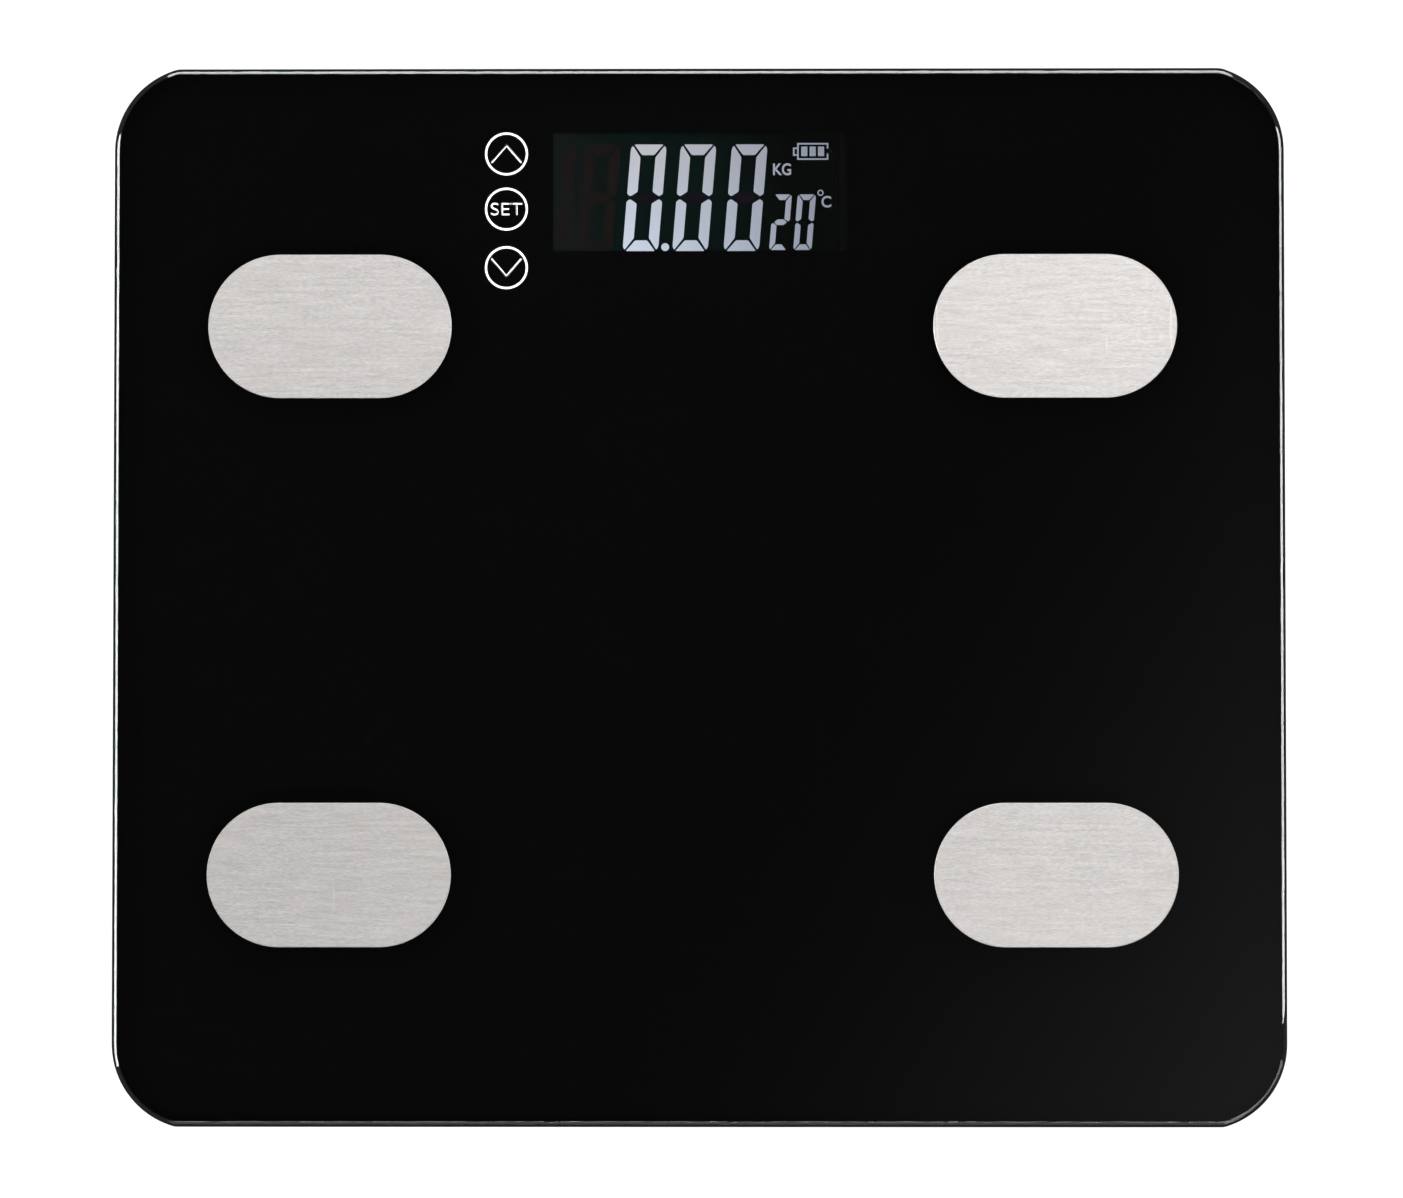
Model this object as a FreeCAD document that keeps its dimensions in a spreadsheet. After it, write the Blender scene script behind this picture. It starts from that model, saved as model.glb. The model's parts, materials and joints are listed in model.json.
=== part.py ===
# Glass-top electronic bathroom scale, as a parametric FreeCAD document. Sizes are in millimetres.
# X runs left to right, Y from the user's heels to the display, Z up. The origin is on the floor under
# the middle of the platform. Every sub-part stands alone and is written to parts/NAME.step.
import FreeCAD
import Part
import Sketcher
import math
import os
import re

SIZES = [
    # glass platform and the ink behind it
    ("glass_width", 310), ("glass_depth", 280), ("glass_thick", 5), ("glass_bevel", 1.2),
    ("glass_arris", 0.4), ("corner_radius", 22.7), ("corner_kink", 15), ("kink_radius", 4),
    ("print_margin", 0.6), ("print_thick", 0.15), ("ink_thick", 0.05),
    ("window_x", 0.4), ("window_y", 107.4), ("window_width", 78.3), ("window_depth", 31.5),
    ("key_x", -51.1), ("key_up_y", 117.6), ("key_set_y", 102.9), ("key_down_y", 87.3),
    ("key_radius", 5.7), ("key_line", 0.55), ("chevron_half", 4.0), ("chevron_rise", 4.5),
    ("letter_height", 3.3), ("letter_line", 0.42),
    # electrodes on top of the glass
    ("electrode_pitch_x", 191.8), ("electrode_pitch_y", 145), ("electrode_shift_x", -1.7),
    ("electrode_shift_y", -1.1), ("electrode_width", 64.4), ("electrode_depth", 38),
    ("electrode_thick", 0.5), ("electrode_edge", 0.2), ("adhesive_thick", 0.15),
    ("adhesive_margin", 1.5), ("stud_radius", 1.5), ("stud_hole_radius", 3),
    ("stud_length", 8.7), ("fastener_play", 0.05), ("nut_radius", 3.18), ("nut_thick", 2.4),
    ("lug_radius", 3.25), ("lug_thick", 0.5), ("lug_reach", 8), ("crimp_radius", 1),
    ("crimp_length", 4),
    # moulded tray
    ("foot_gap", 6), ("tray_height", 14), ("tray_inset", 6), ("tray_radius", 17),
    ("tray_round", 2.5), ("wall_thick", 2.5), ("floor_thick", 2), ("rib_thick", 1.5),
    ("tape_thick", 0.4), ("post_radius", 2.6), ("post_hole_radius", 1.1), ("post_hole_depth", 3.8),
    ("label_y", -75), ("label_width", 84), ("label_length", 34), ("label_corner", 3),
    ("label_depth", 0.3), ("overrun", 0.5),
    ("side_rib_x", 118), ("side_rib_length", 60), ("side_rib_pitch", 40),
    ("long_rib_x", 112), ("long_rib_length", 120), ("front_rib_y", -91), ("front_rib_pitch", 30),
    ("front_rib_length", 84), ("cross_rib_y", -90), ("cross_rib_pitch", 30), ("cross_rib_length", 96),
    # foot wells, load cells and feet
    ("foot_pitch_x", 236), ("foot_pitch_y", 206), ("well_radius", 22.5), ("well_wall", 2.5),
    ("well_depth", 7), ("roof_thick", 3), ("well_lip", 0.5), ("flex_room", 1.5), ("flex_length", 25),
    ("flex_width", 21), ("flex_shift", 1.5), ("notch_width", 4.4), ("notch_length", 8.5),
    ("notch_below", 0.2), ("notch_above", 1),
    ("cell_side", 34), ("cell_thick", 2), ("cell_corner", 5), ("tongue_half", 7),
    ("tongue_slot", 2.2), ("tongue_root", 10), ("gauge_x", 7.5), ("gauge_length", 9),
    ("gauge_width", 7), ("gauge_thick", 0.9), ("gauge_round", 0.4),
    ("ring_inner_radius", 17), ("ring_play", 0.05), ("ring_thick", 1.8), ("ring_recess", 0.2),
    ("ring_edge", 0.5),
    ("foot_radius", 16), ("flange_radius", 20), ("flange_thick", 1.4), ("foot_base", 1),
    ("foot_floor", 1.6), ("skirt_thick", 1.8), ("foot_post_radius", 5), ("foot_edge", 0.6),
    ("foot_ribs", 6), ("foot_rib_thick", 1.4), ("rib_overlap", 0.5),
    ("pad_radius", 14.7), ("pad_thick", 1.6), ("pad_round", 0.4), ("groove_width", 1.2),
    ("groove_depth", 0.5), ("groove_one", 5), ("groove_two", 10),
    # circuit board and display
    ("board_x", -6), ("board_y", 105), ("board_width", 108), ("board_depth", 50),
    ("board_base", 12.4), ("board_thick", 1.6), ("board_corner", 1.5), ("board_hole_radius", 1.3),
    ("board_hole_inset", 3.2),
    ("screw_head_radius", 2.2), ("screw_head_thick", 1.4), ("screw_radius", 1.05),
    ("screw_length", 5), ("drive_length", 2.9), ("drive_width", 0.5), ("drive_depth", 0.8),
    ("frame_x", -1), ("frame_y", 109.5), ("frame_width", 86), ("frame_depth", 41),
    ("frame_height", 6), ("frame_corner", 1), ("gasket_play", 0.3), ("lcd_x", -2), ("lcd_y", 109),
    ("lcd_width", 78), ("lcd_depth", 36), ("lcd_ledge", 2.2), ("lcd_thick", 2.8), ("lcd_play", 0.2),
    ("pin_count", 20), ("pin_room", 1.4), ("pin_pitch", 3.6), ("pin_width", 0.5), ("pin_thick", 0.3),
    ("guide_width", 77), ("guide_depth", 35), ("guide_thick", 2.6), ("reflector_thick", 0.25),
    ("film_gap", 0.05), ("led_thick", 0.5), ("led_width", 3), ("led_pitch", 10), ("led_height", 1.2),
    ("led_rise", 0.8), ("pillar_radius", 4), ("pillar_waist", 0.8), ("pillar_rim", 1),
    ("pillar_play", 0.1), ("blob_x", -12), ("blob_radius", 6.5), ("blob_thick", 1.2),
    ("blob_round", 0.8), ("chip_pitch", 7), ("chip_row", 12), ("chip_length", 2), ("chip_width", 1.25),
    ("chip_height", 0.7), ("crystal_x", 4), ("crystal_radius", 1.5), ("crystal_length", 8),
    ("thermistor_inset", 4), ("thermistor_length", 3.2), ("thermistor_width", 1.6),
    ("thermistor_height", 1.2), ("header_depth", 6), ("header_height", 4), ("header_pitch", 8),
    ("header_setback", 0.5), ("header_shift", 2.4), ("cell_header", 6), ("lead_header", 3.4),
    # unit button and its switch
    ("button_x", 30), ("button_y", 96), ("button_radius", 4), ("button_hole_radius", 4.2),
    ("button_edge", 0.4),
    ("button_dish_radius", 7.5), ("button_dish_depth", 0.6), ("button_recess", 0.3),
    ("button_flange_radius", 5.2), ("button_flange_thick", 0.8), ("switch_side", 6),
    ("switch_height", 2.5), ("plunger_radius", 1.7), ("plunger_play", 0.15),
    ("plunger_engaged", 1.1), ("plunger_bore", 1.9),
    # battery bay, cells and door
    ("bay_y", -5), ("bay_length", 51), ("bay_width", 23), ("bay_height", 12.7), ("bay_wall", 2.5),
    ("ledge_length", 78), ("ledge_width", 42), ("ledge_thick", 2),
    ("door_length", 60.4), ("door_width", 32.4), ("door_thick", 1.6), ("door_play", 0.3),
    ("door_recess", 1.8), ("door_corner", 2.8), ("tab_length", 2.3), ("tab_root", 2),
    ("tab_width", 6), ("tab_spacing", 18), ("tab_thick", 1), ("tab_rise", 0.4), ("tab_slot", 2.8),
    ("nib_reach", 0.2), ("nib_height", 0.5), ("nib_level", 0.9), ("nib_inset", 1.5),
    ("latch_width", 12), ("latch_length", 9), ("latch_gap", 0.9), ("ridge_start", 2),
    ("ridge_pitch", 1.8), ("ridge_width", 0.8), ("ridge_depth", 0.4), ("grip_radius", 7),
    ("grip_depth", 1.2),
    ("battery_radius", 5.25), ("battery_length", 43.5), ("battery_tip_radius", 1.9),
    ("battery_tip", 1), ("battery_spacing", 11.2), ("battery_height", 13.15), ("battery_round", 0.5),
    ("battery_play", 0.1),
    ("terminal_side", 9), ("terminal_thick", 0.5), ("leaf_reach", 5.3), ("leaf_half", 4.2),
    ("leaf_flat", 0.7), ("leaf_tip", 0.8), ("leaf_thick", 0.4), ("leaf_width", 5),
    # leads
    ("cell_lead_radius", 0.9), ("thin_lead_radius", 0.7), ("lead_lift", 0.2), ("lead_play", 0.1),
    ("header_run", 10), ("bay_lead_rise", 1.9),
]
# Levels above the floor, and other sizes that follow from the sheet.
DERIVED = {
    "tray_top": "foot_gap + tray_height",
    "tray_floor": "foot_gap + floor_thick",
    "tray_width": "glass_width - 2 * tray_inset",
    "tray_depth": "glass_depth - 2 * tray_inset",
    "print_base": "tray_top + tape_thick",
    "glass_base": "print_base + print_thick",
    "glass_top": "glass_base + glass_thick",
    "plate_base": "glass_top + adhesive_thick",
    "well_roof": "foot_gap + well_depth",
    "cell_base": "well_roof - cell_thick",
    "ring_base": "foot_gap + ring_recess",
    "flange_base": "ring_base + ring_thick",
    "board_top": "board_base + board_thick",
    "board_front": "board_y - board_depth / 2",
    "lead_level": "tray_floor + cell_lead_radius + lead_lift",
    "header_level": "board_top + header_height / 2",
    "lug_base": "print_base - lug_thick",
    "bay_end": "bay_length / 2",
    "recess_end": "door_length / 2 + door_play",
    "frame_top": "board_top + frame_height",
    "flange_top": "tray_floor + button_flange_thick",
}
CORNERS = {
    "rear_left": (-1, 1),
    "rear_right": (1, 1),
    "front_left": (-1, -1),
    "front_right": (1, -1),
}
KEYS = {"up": "key_up_y", "set": "key_set_y", "down": "key_down_y"}

doc = FreeCAD.newDocument("bathroom_scale")
sheet = doc.addObject("Spreadsheet::Sheet", "Sheet")
for row, (alias, number) in enumerate(SIZES, start=1):
    sheet.set(f"A{row}", alias.replace("_", " "))
    sheet.set(f"B{row}", str(number))
    sheet.setAlias(f"B{row}", alias)
doc.recompute()
ALIASES = {alias for alias, _ in SIZES}
subparts = {}


def bound(text):
    """An expression on the sheet's cells, from one that names the sizes alone."""
    def refer(match):
        word = match.group(0)
        if word in DERIVED:
            return "(" + bound(DERIVED[word]) + ")"
        return "Sheet." + word if word in ALIASES else word
    return re.sub(r"[a-z_]+", refer, str(text))


def value(text):
    return float(sheet.evalExpression(bound(text)))


def point(x, y, z):
    return FreeCAD.Vector(value(x), value(y), value(z))


def subpart(name, made):
    made.Label = name
    subparts[name] = made
    return made


def place(made, x="0", y="0", z="0", turn=0):
    """Binds an object's position to the sheet. turn is its angle about Z, in degrees."""
    made.Placement = FreeCAD.Placement(FreeCAD.Vector(), FreeCAD.Rotation(FreeCAD.Vector(0, 0, 1), turn))
    for axis, text in (("x", x), ("y", y), ("z", z)):
        made.setExpression("Placement.Base." + axis, bound(text))
    return made


# ---- sketches and PartDesign features --------------------------------------------------------------

def new_body(name):
    return doc.addObject("PartDesign::Body", name)


def new_sketch(body, level="0", plane="XY_Plane"):
    """A sketch on one of the body's own planes, at a height above it."""
    sketch = body.newObject("Sketcher::SketchObject", body.Name + "_sketch")
    support = next(f for f in body.Origin.OriginFeatures if f.Role == plane)
    sketch.AttachmentSupport = [(support, "")]
    sketch.MapMode = "FlatFace"
    sketch.setExpression("AttachmentOffset.Base.z", bound(level))
    return sketch


def dimension(sketch, kind, text, *where):
    """Adds a dimension that follows the sheet."""
    index = sketch.addConstraint(Sketcher.Constraint(kind, *where, value(text)))
    sketch.renameConstraint(index, f"size_{index}")
    sketch.setExpression(f"Constraints.size_{index}", bound(text))


def circle(sketch, x, y, radius):
    made = sketch.addGeometry(Part.Circle(point(x, y, 0), FreeCAD.Vector(0, 0, 1), value(radius)), False)
    dimension(sketch, "DistanceX", x, -1, 1, made, 3)
    dimension(sketch, "DistanceY", y, -1, 1, made, 3)
    dimension(sketch, "Radius", radius, made)


def polygon(sketch, corners):
    """A closed outline of straight lines through (x, y) corners."""
    places = [point(x, y, 0) for x, y in corners]
    ends = places[1:] + places[:1]
    lines = [sketch.addGeometry(Part.LineSegment(a, b), False) for a, b in zip(places, ends)]
    for here, after in zip(lines, lines[1:] + lines[:1]):
        sketch.addConstraint(Sketcher.Constraint("Coincident", here, 2, after, 1))
    for line, (x, y) in zip(lines, corners):
        dimension(sketch, "DistanceX", x, -1, 1, line, 1)
        dimension(sketch, "DistanceY", y, -1, 1, line, 1)


def rectangle(sketch, x, y, width, depth):
    left, right = f"{x} - ({width}) / 2", f"{x} + ({width}) / 2"
    front, rear = f"{y} - ({depth}) / 2", f"{y} + ({depth}) / 2"
    polygon(sketch, [(left, front), (right, front), (right, rear), (left, rear)])


def rounded(sketch, x, y, width, depth, radius, kink=None):
    """A rectangle with round corners. kink is the angle at which each arc meets the front and rear lines."""
    half_x, half_y, round_by = value(width) / 2, value(depth) / 2, value(radius)
    lean = math.radians(value(kink)) if kink else 0.0
    middle = point(x, y, 0)
    side_y = half_y - round_by * math.cos(lean)
    line_x = half_x - round_by * (1 - math.sin(lean))
    ends = [(half_x, -side_y), (half_x, side_y), (line_x, half_y), (-line_x, half_y),
            (-half_x, side_y), (-half_x, -side_y), (-line_x, -half_y), (line_x, -half_y)]
    ends = [middle + FreeCAD.Vector(a, b, 0) for a, b in ends]
    right, top, left, bottom = [
        sketch.addGeometry(Part.LineSegment(ends[i], ends[i + 1]), False) for i in (0, 2, 4, 6)]
    quarter = math.pi / 2
    arcs = []
    for turn, (side_x, side) in enumerate(((1, 1), (-1, 1), (-1, -1), (1, -1))):
        centre = middle + FreeCAD.Vector(side_x * (half_x - round_by), side * side_y, 0)
        start = turn * quarter + (lean if turn % 2 else 0.0)
        stop = (turn + 1) * quarter - (0.0 if turn % 2 else lean)
        ring = Part.Circle(centre, FreeCAD.Vector(0, 0, 1), round_by)
        arcs.append(sketch.addGeometry(Part.ArcOfCircle(ring, start, stop), False))
    loop = [right, arcs[0], top, arcs[1], left, arcs[2], bottom, arcs[3]]
    for here, after in zip(loop, loop[1:] + loop[:1]):
        joined = "Coincident" if kink and {here, after} & {top, bottom} else "Tangent"
        sketch.addConstraint(Sketcher.Constraint(joined, here, 2, after, 1))
    for line, kind in ((right, "Vertical"), (left, "Vertical"), (top, "Horizontal"), (bottom, "Horizontal")):
        sketch.addConstraint(Sketcher.Constraint(kind, line))
    for arc in arcs[1:]:
        sketch.addConstraint(Sketcher.Constraint("Equal", arcs[0], arc))
    dimension(sketch, "Radius", radius, arcs[0])
    dimension(sketch, "DistanceX", f"{x} + ({width}) / 2", -1, 1, right, 1)
    dimension(sketch, "DistanceX", f"{x} - ({width}) / 2", -1, 1, left, 1)
    dimension(sketch, "DistanceY", f"{y} + ({depth}) / 2", -1, 1, top, 1)
    dimension(sketch, "DistanceY", f"{y} - ({depth}) / 2", -1, 1, bottom, 1)
    if kink:
        for arc, sign in zip(arcs, "++--"):
            away = f"{y} {sign} (({depth}) / 2 - ({radius}) * cos({kink}))"
            dimension(sketch, "DistanceY", away, -1, 1, arc, 3)


def slot(sketch, width, depth):
    """A long shape with half-round ends, about the origin."""
    reach, round_by = value(f"({width} - {depth}) / 2"), value(f"({depth}) / 2")
    up = FreeCAD.Vector(0, 0, 1)
    right = sketch.addGeometry(Part.ArcOfCircle(
        Part.Circle(FreeCAD.Vector(reach, 0, 0), up, round_by), -math.pi / 2, math.pi / 2), False)
    left = sketch.addGeometry(Part.ArcOfCircle(
        Part.Circle(FreeCAD.Vector(-reach, 0, 0), up, round_by), math.pi / 2, 3 * math.pi / 2), False)
    top = sketch.addGeometry(Part.LineSegment(
        FreeCAD.Vector(reach, round_by, 0), FreeCAD.Vector(-reach, round_by, 0)), False)
    bottom = sketch.addGeometry(Part.LineSegment(
        FreeCAD.Vector(-reach, -round_by, 0), FreeCAD.Vector(reach, -round_by, 0)), False)
    for here, after in ((right, top), (top, left), (left, bottom), (bottom, right)):
        sketch.addConstraint(Sketcher.Constraint("Tangent", here, 2, after, 1))
    sketch.addConstraint(Sketcher.Constraint("Horizontal", top))
    dimension(sketch, "Radius", f"({depth}) / 2", right)
    dimension(sketch, "DistanceX", f"({width} - {depth}) / 2", -1, 1, right, 3)
    dimension(sketch, "DistanceX", f"-({width} - {depth}) / 2", -1, 1, left, 3)
    dimension(sketch, "DistanceY", "0", -1, 1, right, 3)


def pad(body, sketch, length, down=False, both=False):
    """Builds up from the sketch, or down from it, or to both sides."""
    made = body.newObject("PartDesign::Pad", body.Name + "_pad")
    made.Profile = sketch
    made.Reversed = down
    made.SideType = "Symmetric" if both else "One side"
    made.setExpression("Length", bound(length))
    doc.recompute()
    return made


def pocket(body, sketch, length, up=False):
    """Cuts down from the sketch, or up from it, and makes sure that something was cut."""
    before = body.Shape.Volume
    made = body.newObject("PartDesign::Pocket", body.Name + "_pocket")
    made.Profile = sketch
    made.Reversed = up
    made.setExpression("Length", bound(length))
    doc.recompute()
    if body.Shape.Volume > before - 1e-6:
        raise RuntimeError(f"{made.Name} cuts nothing")
    return made


def revolve(body, corners):
    """A solid of revolution about Z from (radius, height) corners."""
    sketch = new_sketch(body, plane="XZ_Plane")
    polygon(sketch, corners)
    made = body.newObject("PartDesign::Revolution", body.Name + "_revolution")
    made.Profile = sketch
    made.ReferenceAxis = (sketch, ["V_Axis"])
    made.Angle = 360
    doc.recompute()
    return made


def edge_names(shape, level):
    """The edges that lie on a level."""
    names = []
    for number, edge in enumerate(shape.Edges, start=1):
        if abs(edge.BoundBox.ZMin - level) < 1e-4 and abs(edge.BoundBox.ZMax - level) < 1e-4:
            names.append(f"Edge{number}")
    return names


def dress_edges(body, kind, names, size):
    """A chamfer or fillet on named edges."""
    base = body.Tip
    made = body.newObject("PartDesign::" + kind, body.Name + "_" + kind.lower())
    made.Base = (base, names)
    made.setExpression("Size" if kind == "Chamfer" else "Radius", bound(size))
    doc.recompute()
    if "Invalid" in made.State:
        raise RuntimeError(f"{made.Name} failed on {names}")
    return made


def dress(body, kind, level, size):
    """A chamfer or fillet round the edges at a level."""
    return dress_edges(body, kind, edge_names(body.Tip.Shape, value(level)), size)


def rounded_edges(name, base, level, radius):
    """A primitive with a fillet round its edges at a level."""
    doc.recompute()
    size = value(radius)
    made = doc.addObject("Part::Fillet", name)
    made.Base = base
    made.Edges = [(int(edge[4:]), size, size) for edge in edge_names(base.Shape, value(level))]
    return made


# ---- Part primitives -------------------------------------------------------------------------------

def box(name, x, y, z, length, width, height):
    """A box centred on x and y that stands on z."""
    made = doc.addObject("Part::Box", name)
    made.setExpression("Length", bound(length))
    made.setExpression("Width", bound(width))
    made.setExpression("Height", bound(height))
    return place(made, f"{x} - ({length}) / 2", f"{y} - ({width}) / 2", z)


def cylinder(name, x, y, z, radius, height):
    made = doc.addObject("Part::Cylinder", name)
    made.setExpression("Radius", bound(radius))
    made.setExpression("Height", bound(height))
    return place(made, x, y, z)


def rod(name, x, y, z, radius, length):
    """A cylinder along +X that starts at x."""
    made = cylinder(name, x, y, z, radius, length)
    made.Placement = FreeCAD.Placement(FreeCAD.Vector(), FreeCAD.Rotation(FreeCAD.Vector(0, 1, 0), 90))
    return made


def cut(name, base, tool):
    made = doc.addObject("Part::Cut", name)
    made.Base, made.Tool = base, tool
    return made


def fuse(name, *shapes):
    made = doc.addObject("Part::MultiFuse", name)
    made.Shapes = list(shapes)
    return made


def group(name, shapes):
    made = doc.addObject("Part::Compound", name)
    made.Links = list(shapes)
    return made


def shaped(name, shape):
    made = doc.addObject("Part::Feature", name)
    made.Shape = shape
    return made


# ---- routes: straight runs joined by tangent arcs --------------------------------------------------

ARC_SHARE = 0.45


def route(points):
    """A wire along the points, each bend an arc as large as its shorter run allows."""
    edges, start = [], points[0]
    for before, corner, after in zip(points, points[1:], points[2:]):
        back, ahead = before - corner, after - corner
        reach = ARC_SHARE * min(back.Length, ahead.Length)
        back.normalize()
        ahead.normalize()
        enter, leave = corner + back * reach, corner + ahead * reach
        half_turn = (math.pi - back.getAngle(ahead)) / 2
        bisector = back + ahead
        bisector.normalize()
        radius = reach / math.tan(half_turn)
        top = corner + bisector * (radius / math.cos(half_turn) - radius)
        edges += [Part.LineSegment(start, enter).toShape(), Part.Arc(enter, top, leave).toShape()]
        start = leave
    edges.append(Part.LineSegment(start, points[-1]).toShape())
    return Part.Wire(edges)


def swept(wire, profile):
    return wire.makePipeShell([profile], True, False)


def lead(name, places, radius):
    """A round lead along (x, y, z) places, named as a sub-part. Its volume is compared with its length."""
    wire = route([point(*p) for p in places])
    first = wire.Edges[0]
    along = first.tangentAt(first.FirstParameter)
    end = Part.Wire(Part.Circle(wire.Edges[0].Vertexes[0].Point, along, value(radius)).toShape())
    solid = swept(wire, end)
    expected = math.pi * value(radius) ** 2 * wire.Length
    if abs(solid.Volume / expected - 1) > 0.01:
        raise RuntimeError(f"{name} has {solid.Volume:.1f} mm3, not {expected:.1f}")
    print(f"{name}: {wire.Length:.0f} mm long")
    return subpart(name, shaped(name, solid))


# ---- glass platform, ink and legends ---------------------------------------------------------------

def electrode_place(corner):
    side, end = CORNERS[corner]
    return (f"{side} * electrode_pitch_x / 2 + electrode_shift_x",
            f"{end} * electrode_pitch_y / 2 + electrode_shift_y")


def stud_holes(body, level, depth):
    sketch = new_sketch(body, level)
    for corner in CORNERS:
        circle(sketch, *electrode_place(corner), "stud_hole_radius")
    pocket(body, sketch, depth, up=True)


def glass_platform():
    """Tempered glass with a ground side, a bevel and a hole under each electrode."""
    body = new_body("glass_platform")
    sketch = new_sketch(body, "glass_base")
    rounded(sketch, "0", "0", "glass_width", "glass_depth", "corner_radius", "corner_kink")
    pad(body, sketch, "glass_thick")
    kinks = [f"Edge{number}" for number, edge in enumerate(body.Shape.Edges, start=1)
             if abs(edge.BoundBox.YLength) < 1e-4 and edge.BoundBox.ZLength > 1
             and abs(abs(edge.Vertexes[0].Y) - value("glass_depth / 2")) < 1e-4]
    dress_edges(body, "Fillet", kinks, "kink_radius")
    dress(body, "Chamfer", "glass_top", "glass_bevel")
    dress(body, "Chamfer", "glass_base", "glass_arris")
    stud_holes(body, "glass_base", "glass_thick")
    return subpart("glass_platform", body)


def stroke(places, width, level, thick):
    """A flat line of ink of a given width along (x, y) places, with its bends rounded."""
    middle = level + thick / 2
    wire = route([FreeCAD.Vector(x, y, middle) for x, y in places])
    start = wire.Edges[0].Vertexes[0].Point
    along = wire.Edges[0].tangentAt(0)
    across = FreeCAD.Vector(-along.y, along.x, 0) * (width / 2)
    rise = FreeCAD.Vector(0, 0, thick / 2)
    ring = [start + across + rise, start - across + rise, start - across - rise, start + across - rise]
    return swept(wire, Part.makePolygon(ring + ring[:1]))


def bar(x0, y0, x1, y1, level, thick):
    return Part.makeBox(x1 - x0, y1 - y0, thick, FreeCAD.Vector(x0, y0, level))


def chevron(x, y, up, level, thick):
    """An angle of ink, its point up or down."""
    half, rise, line = value("chevron_half"), value("chevron_rise"), value("key_line")
    drop = line / math.cos(math.atan2(rise, half))
    tip, foot = rise / 2, -rise / 2
    heel = foot - drop / 2
    outline = [(-half, foot), (0, tip), (half, foot), (half, heel), (half - line / 2, heel),
               (0, tip - drop), (line / 2 - half, heel), (-half, heel)]
    ring = [FreeCAD.Vector(x + a, y + up * b, level) for a, b in outline]
    return Part.Face(Part.makePolygon(ring + ring[:1])).extrude(FreeCAD.Vector(0, 0, thick))


def set_word(x, y, level, thick):
    """The word SET, centred on x and y."""
    tall, line = value("letter_height"), value("letter_line")
    wide, gap, low = 0.72 * tall, 0.17 * tall, y - tall / 2
    high, middle = low + tall, low + tall / 2
    step = wide + gap
    left = x - (3 * wide + 2 * gap) / 2
    s_left, s_right = left + line / 2, left + wide - line / 2
    s_low, s_high = low + line / 2, high - line / 2
    s_end = 0.24 * tall
    letter_s = stroke([
        (s_right, s_high - s_end), (s_right - 0.1 * wide, s_high), (s_left + 0.05 * wide, s_high),
        (s_left, middle + 0.08 * tall), (s_right, middle - 0.08 * tall),
        (s_right - 0.05 * wide, s_low), (s_left + 0.1 * wide, s_low), (s_left, s_low + s_end),
    ], line, level, thick)
    e_left = left + step
    letter_e = bar(e_left, low, e_left + line, high, level, thick)
    for base in (low, middle - line / 2, high - line):
        letter_e = letter_e.fuse(bar(e_left, base, e_left + wide, base + line, level, thick))
    t_left = left + 2 * step
    stem = t_left + (wide - line) / 2
    letter_t = bar(t_left, high - line, t_left + wide, high, level, thick)
    letter_t = letter_t.fuse(bar(stem, low, stem + line, high, level, thick))
    return [letter_s, letter_e.removeSplitter(), letter_t.removeSplitter()]


def key_legends():
    """White ink behind the glass: a ring for each touch key, two chevrons and the word SET."""
    thick = value("ink_thick")
    level = value("glass_base") - thick
    outer = value("key_radius")
    inner = outer - value("key_line")
    solids = []
    for key, height in KEYS.items():
        x, y = value("key_x"), value(height)
        centre = FreeCAD.Vector(x, y, level)
        solids.append(Part.makeCylinder(outer, thick, centre).cut(Part.makeCylinder(inner, thick, centre)))
        if key == "set":
            solids += set_word(x, y, level, thick)
        else:
            solids.append(chevron(x, y, 1 if key == "up" else -1, level, thick))
    return subpart("key_legends", shaped("key_legends", Part.makeCompound(solids)))


def back_print(legends):
    """The black ink film, with a clear window for the display and the legends let into its top."""
    body = new_body("print_film")
    sketch = new_sketch(body, "print_base")
    rounded(sketch, "0", "0", "glass_width - 2 * print_margin", "glass_depth - 2 * print_margin",
            "corner_radius - print_margin", "corner_kink")
    pad(body, sketch, "print_thick")
    window = new_sketch(body, "print_base")
    rectangle(window, "window_x", "window_y", "window_width", "window_depth")
    pocket(body, window, "print_thick", up=True)
    stud_holes(body, "print_base", "print_thick")
    return subpart("back_print", cut("back_print", body, legends))


# ---- electrodes ------------------------------------------------------------------------------------

def electrode(corner):
    """A stainless plate with a stud welded under its middle."""
    body = new_body("electrode_" + corner)
    sketch = new_sketch(body)
    slot(sketch, "electrode_width", "electrode_depth")
    pad(body, sketch, "electrode_thick")
    dress(body, "Chamfer", "electrode_thick", "electrode_edge")
    stud = new_sketch(body)
    circle(stud, "0", "0", "stud_radius")
    pad(body, stud, "stud_length", down=True)
    place(body, *electrode_place(corner), "plate_base")
    return subpart("electrode_" + corner, body)


def electrode_adhesives():
    """A pad of double-sided film under each electrode, with a hole for the stud."""
    pads = []
    for corner in CORNERS:
        body = new_body("adhesive_" + corner)
        sketch = new_sketch(body)
        slot(sketch, "electrode_width - 2 * adhesive_margin", "electrode_depth - 2 * adhesive_margin")
        circle(sketch, "0", "0", "stud_hole_radius")
        pad(body, sketch, "adhesive_thick")
        pads.append(place(body, *electrode_place(corner), "glass_top"))
    return subpart("electrode_adhesives", group("electrode_adhesives", pads))


def stud_bore(x, y):
    """A tool that clears the stud's way through its lug and its nut."""
    return cylinder("stud_bore", x, y, "lug_base - nut_thick - overrun", "stud_radius + fastener_play",
                    "nut_thick + lug_thick + 2 * overrun")


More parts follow.
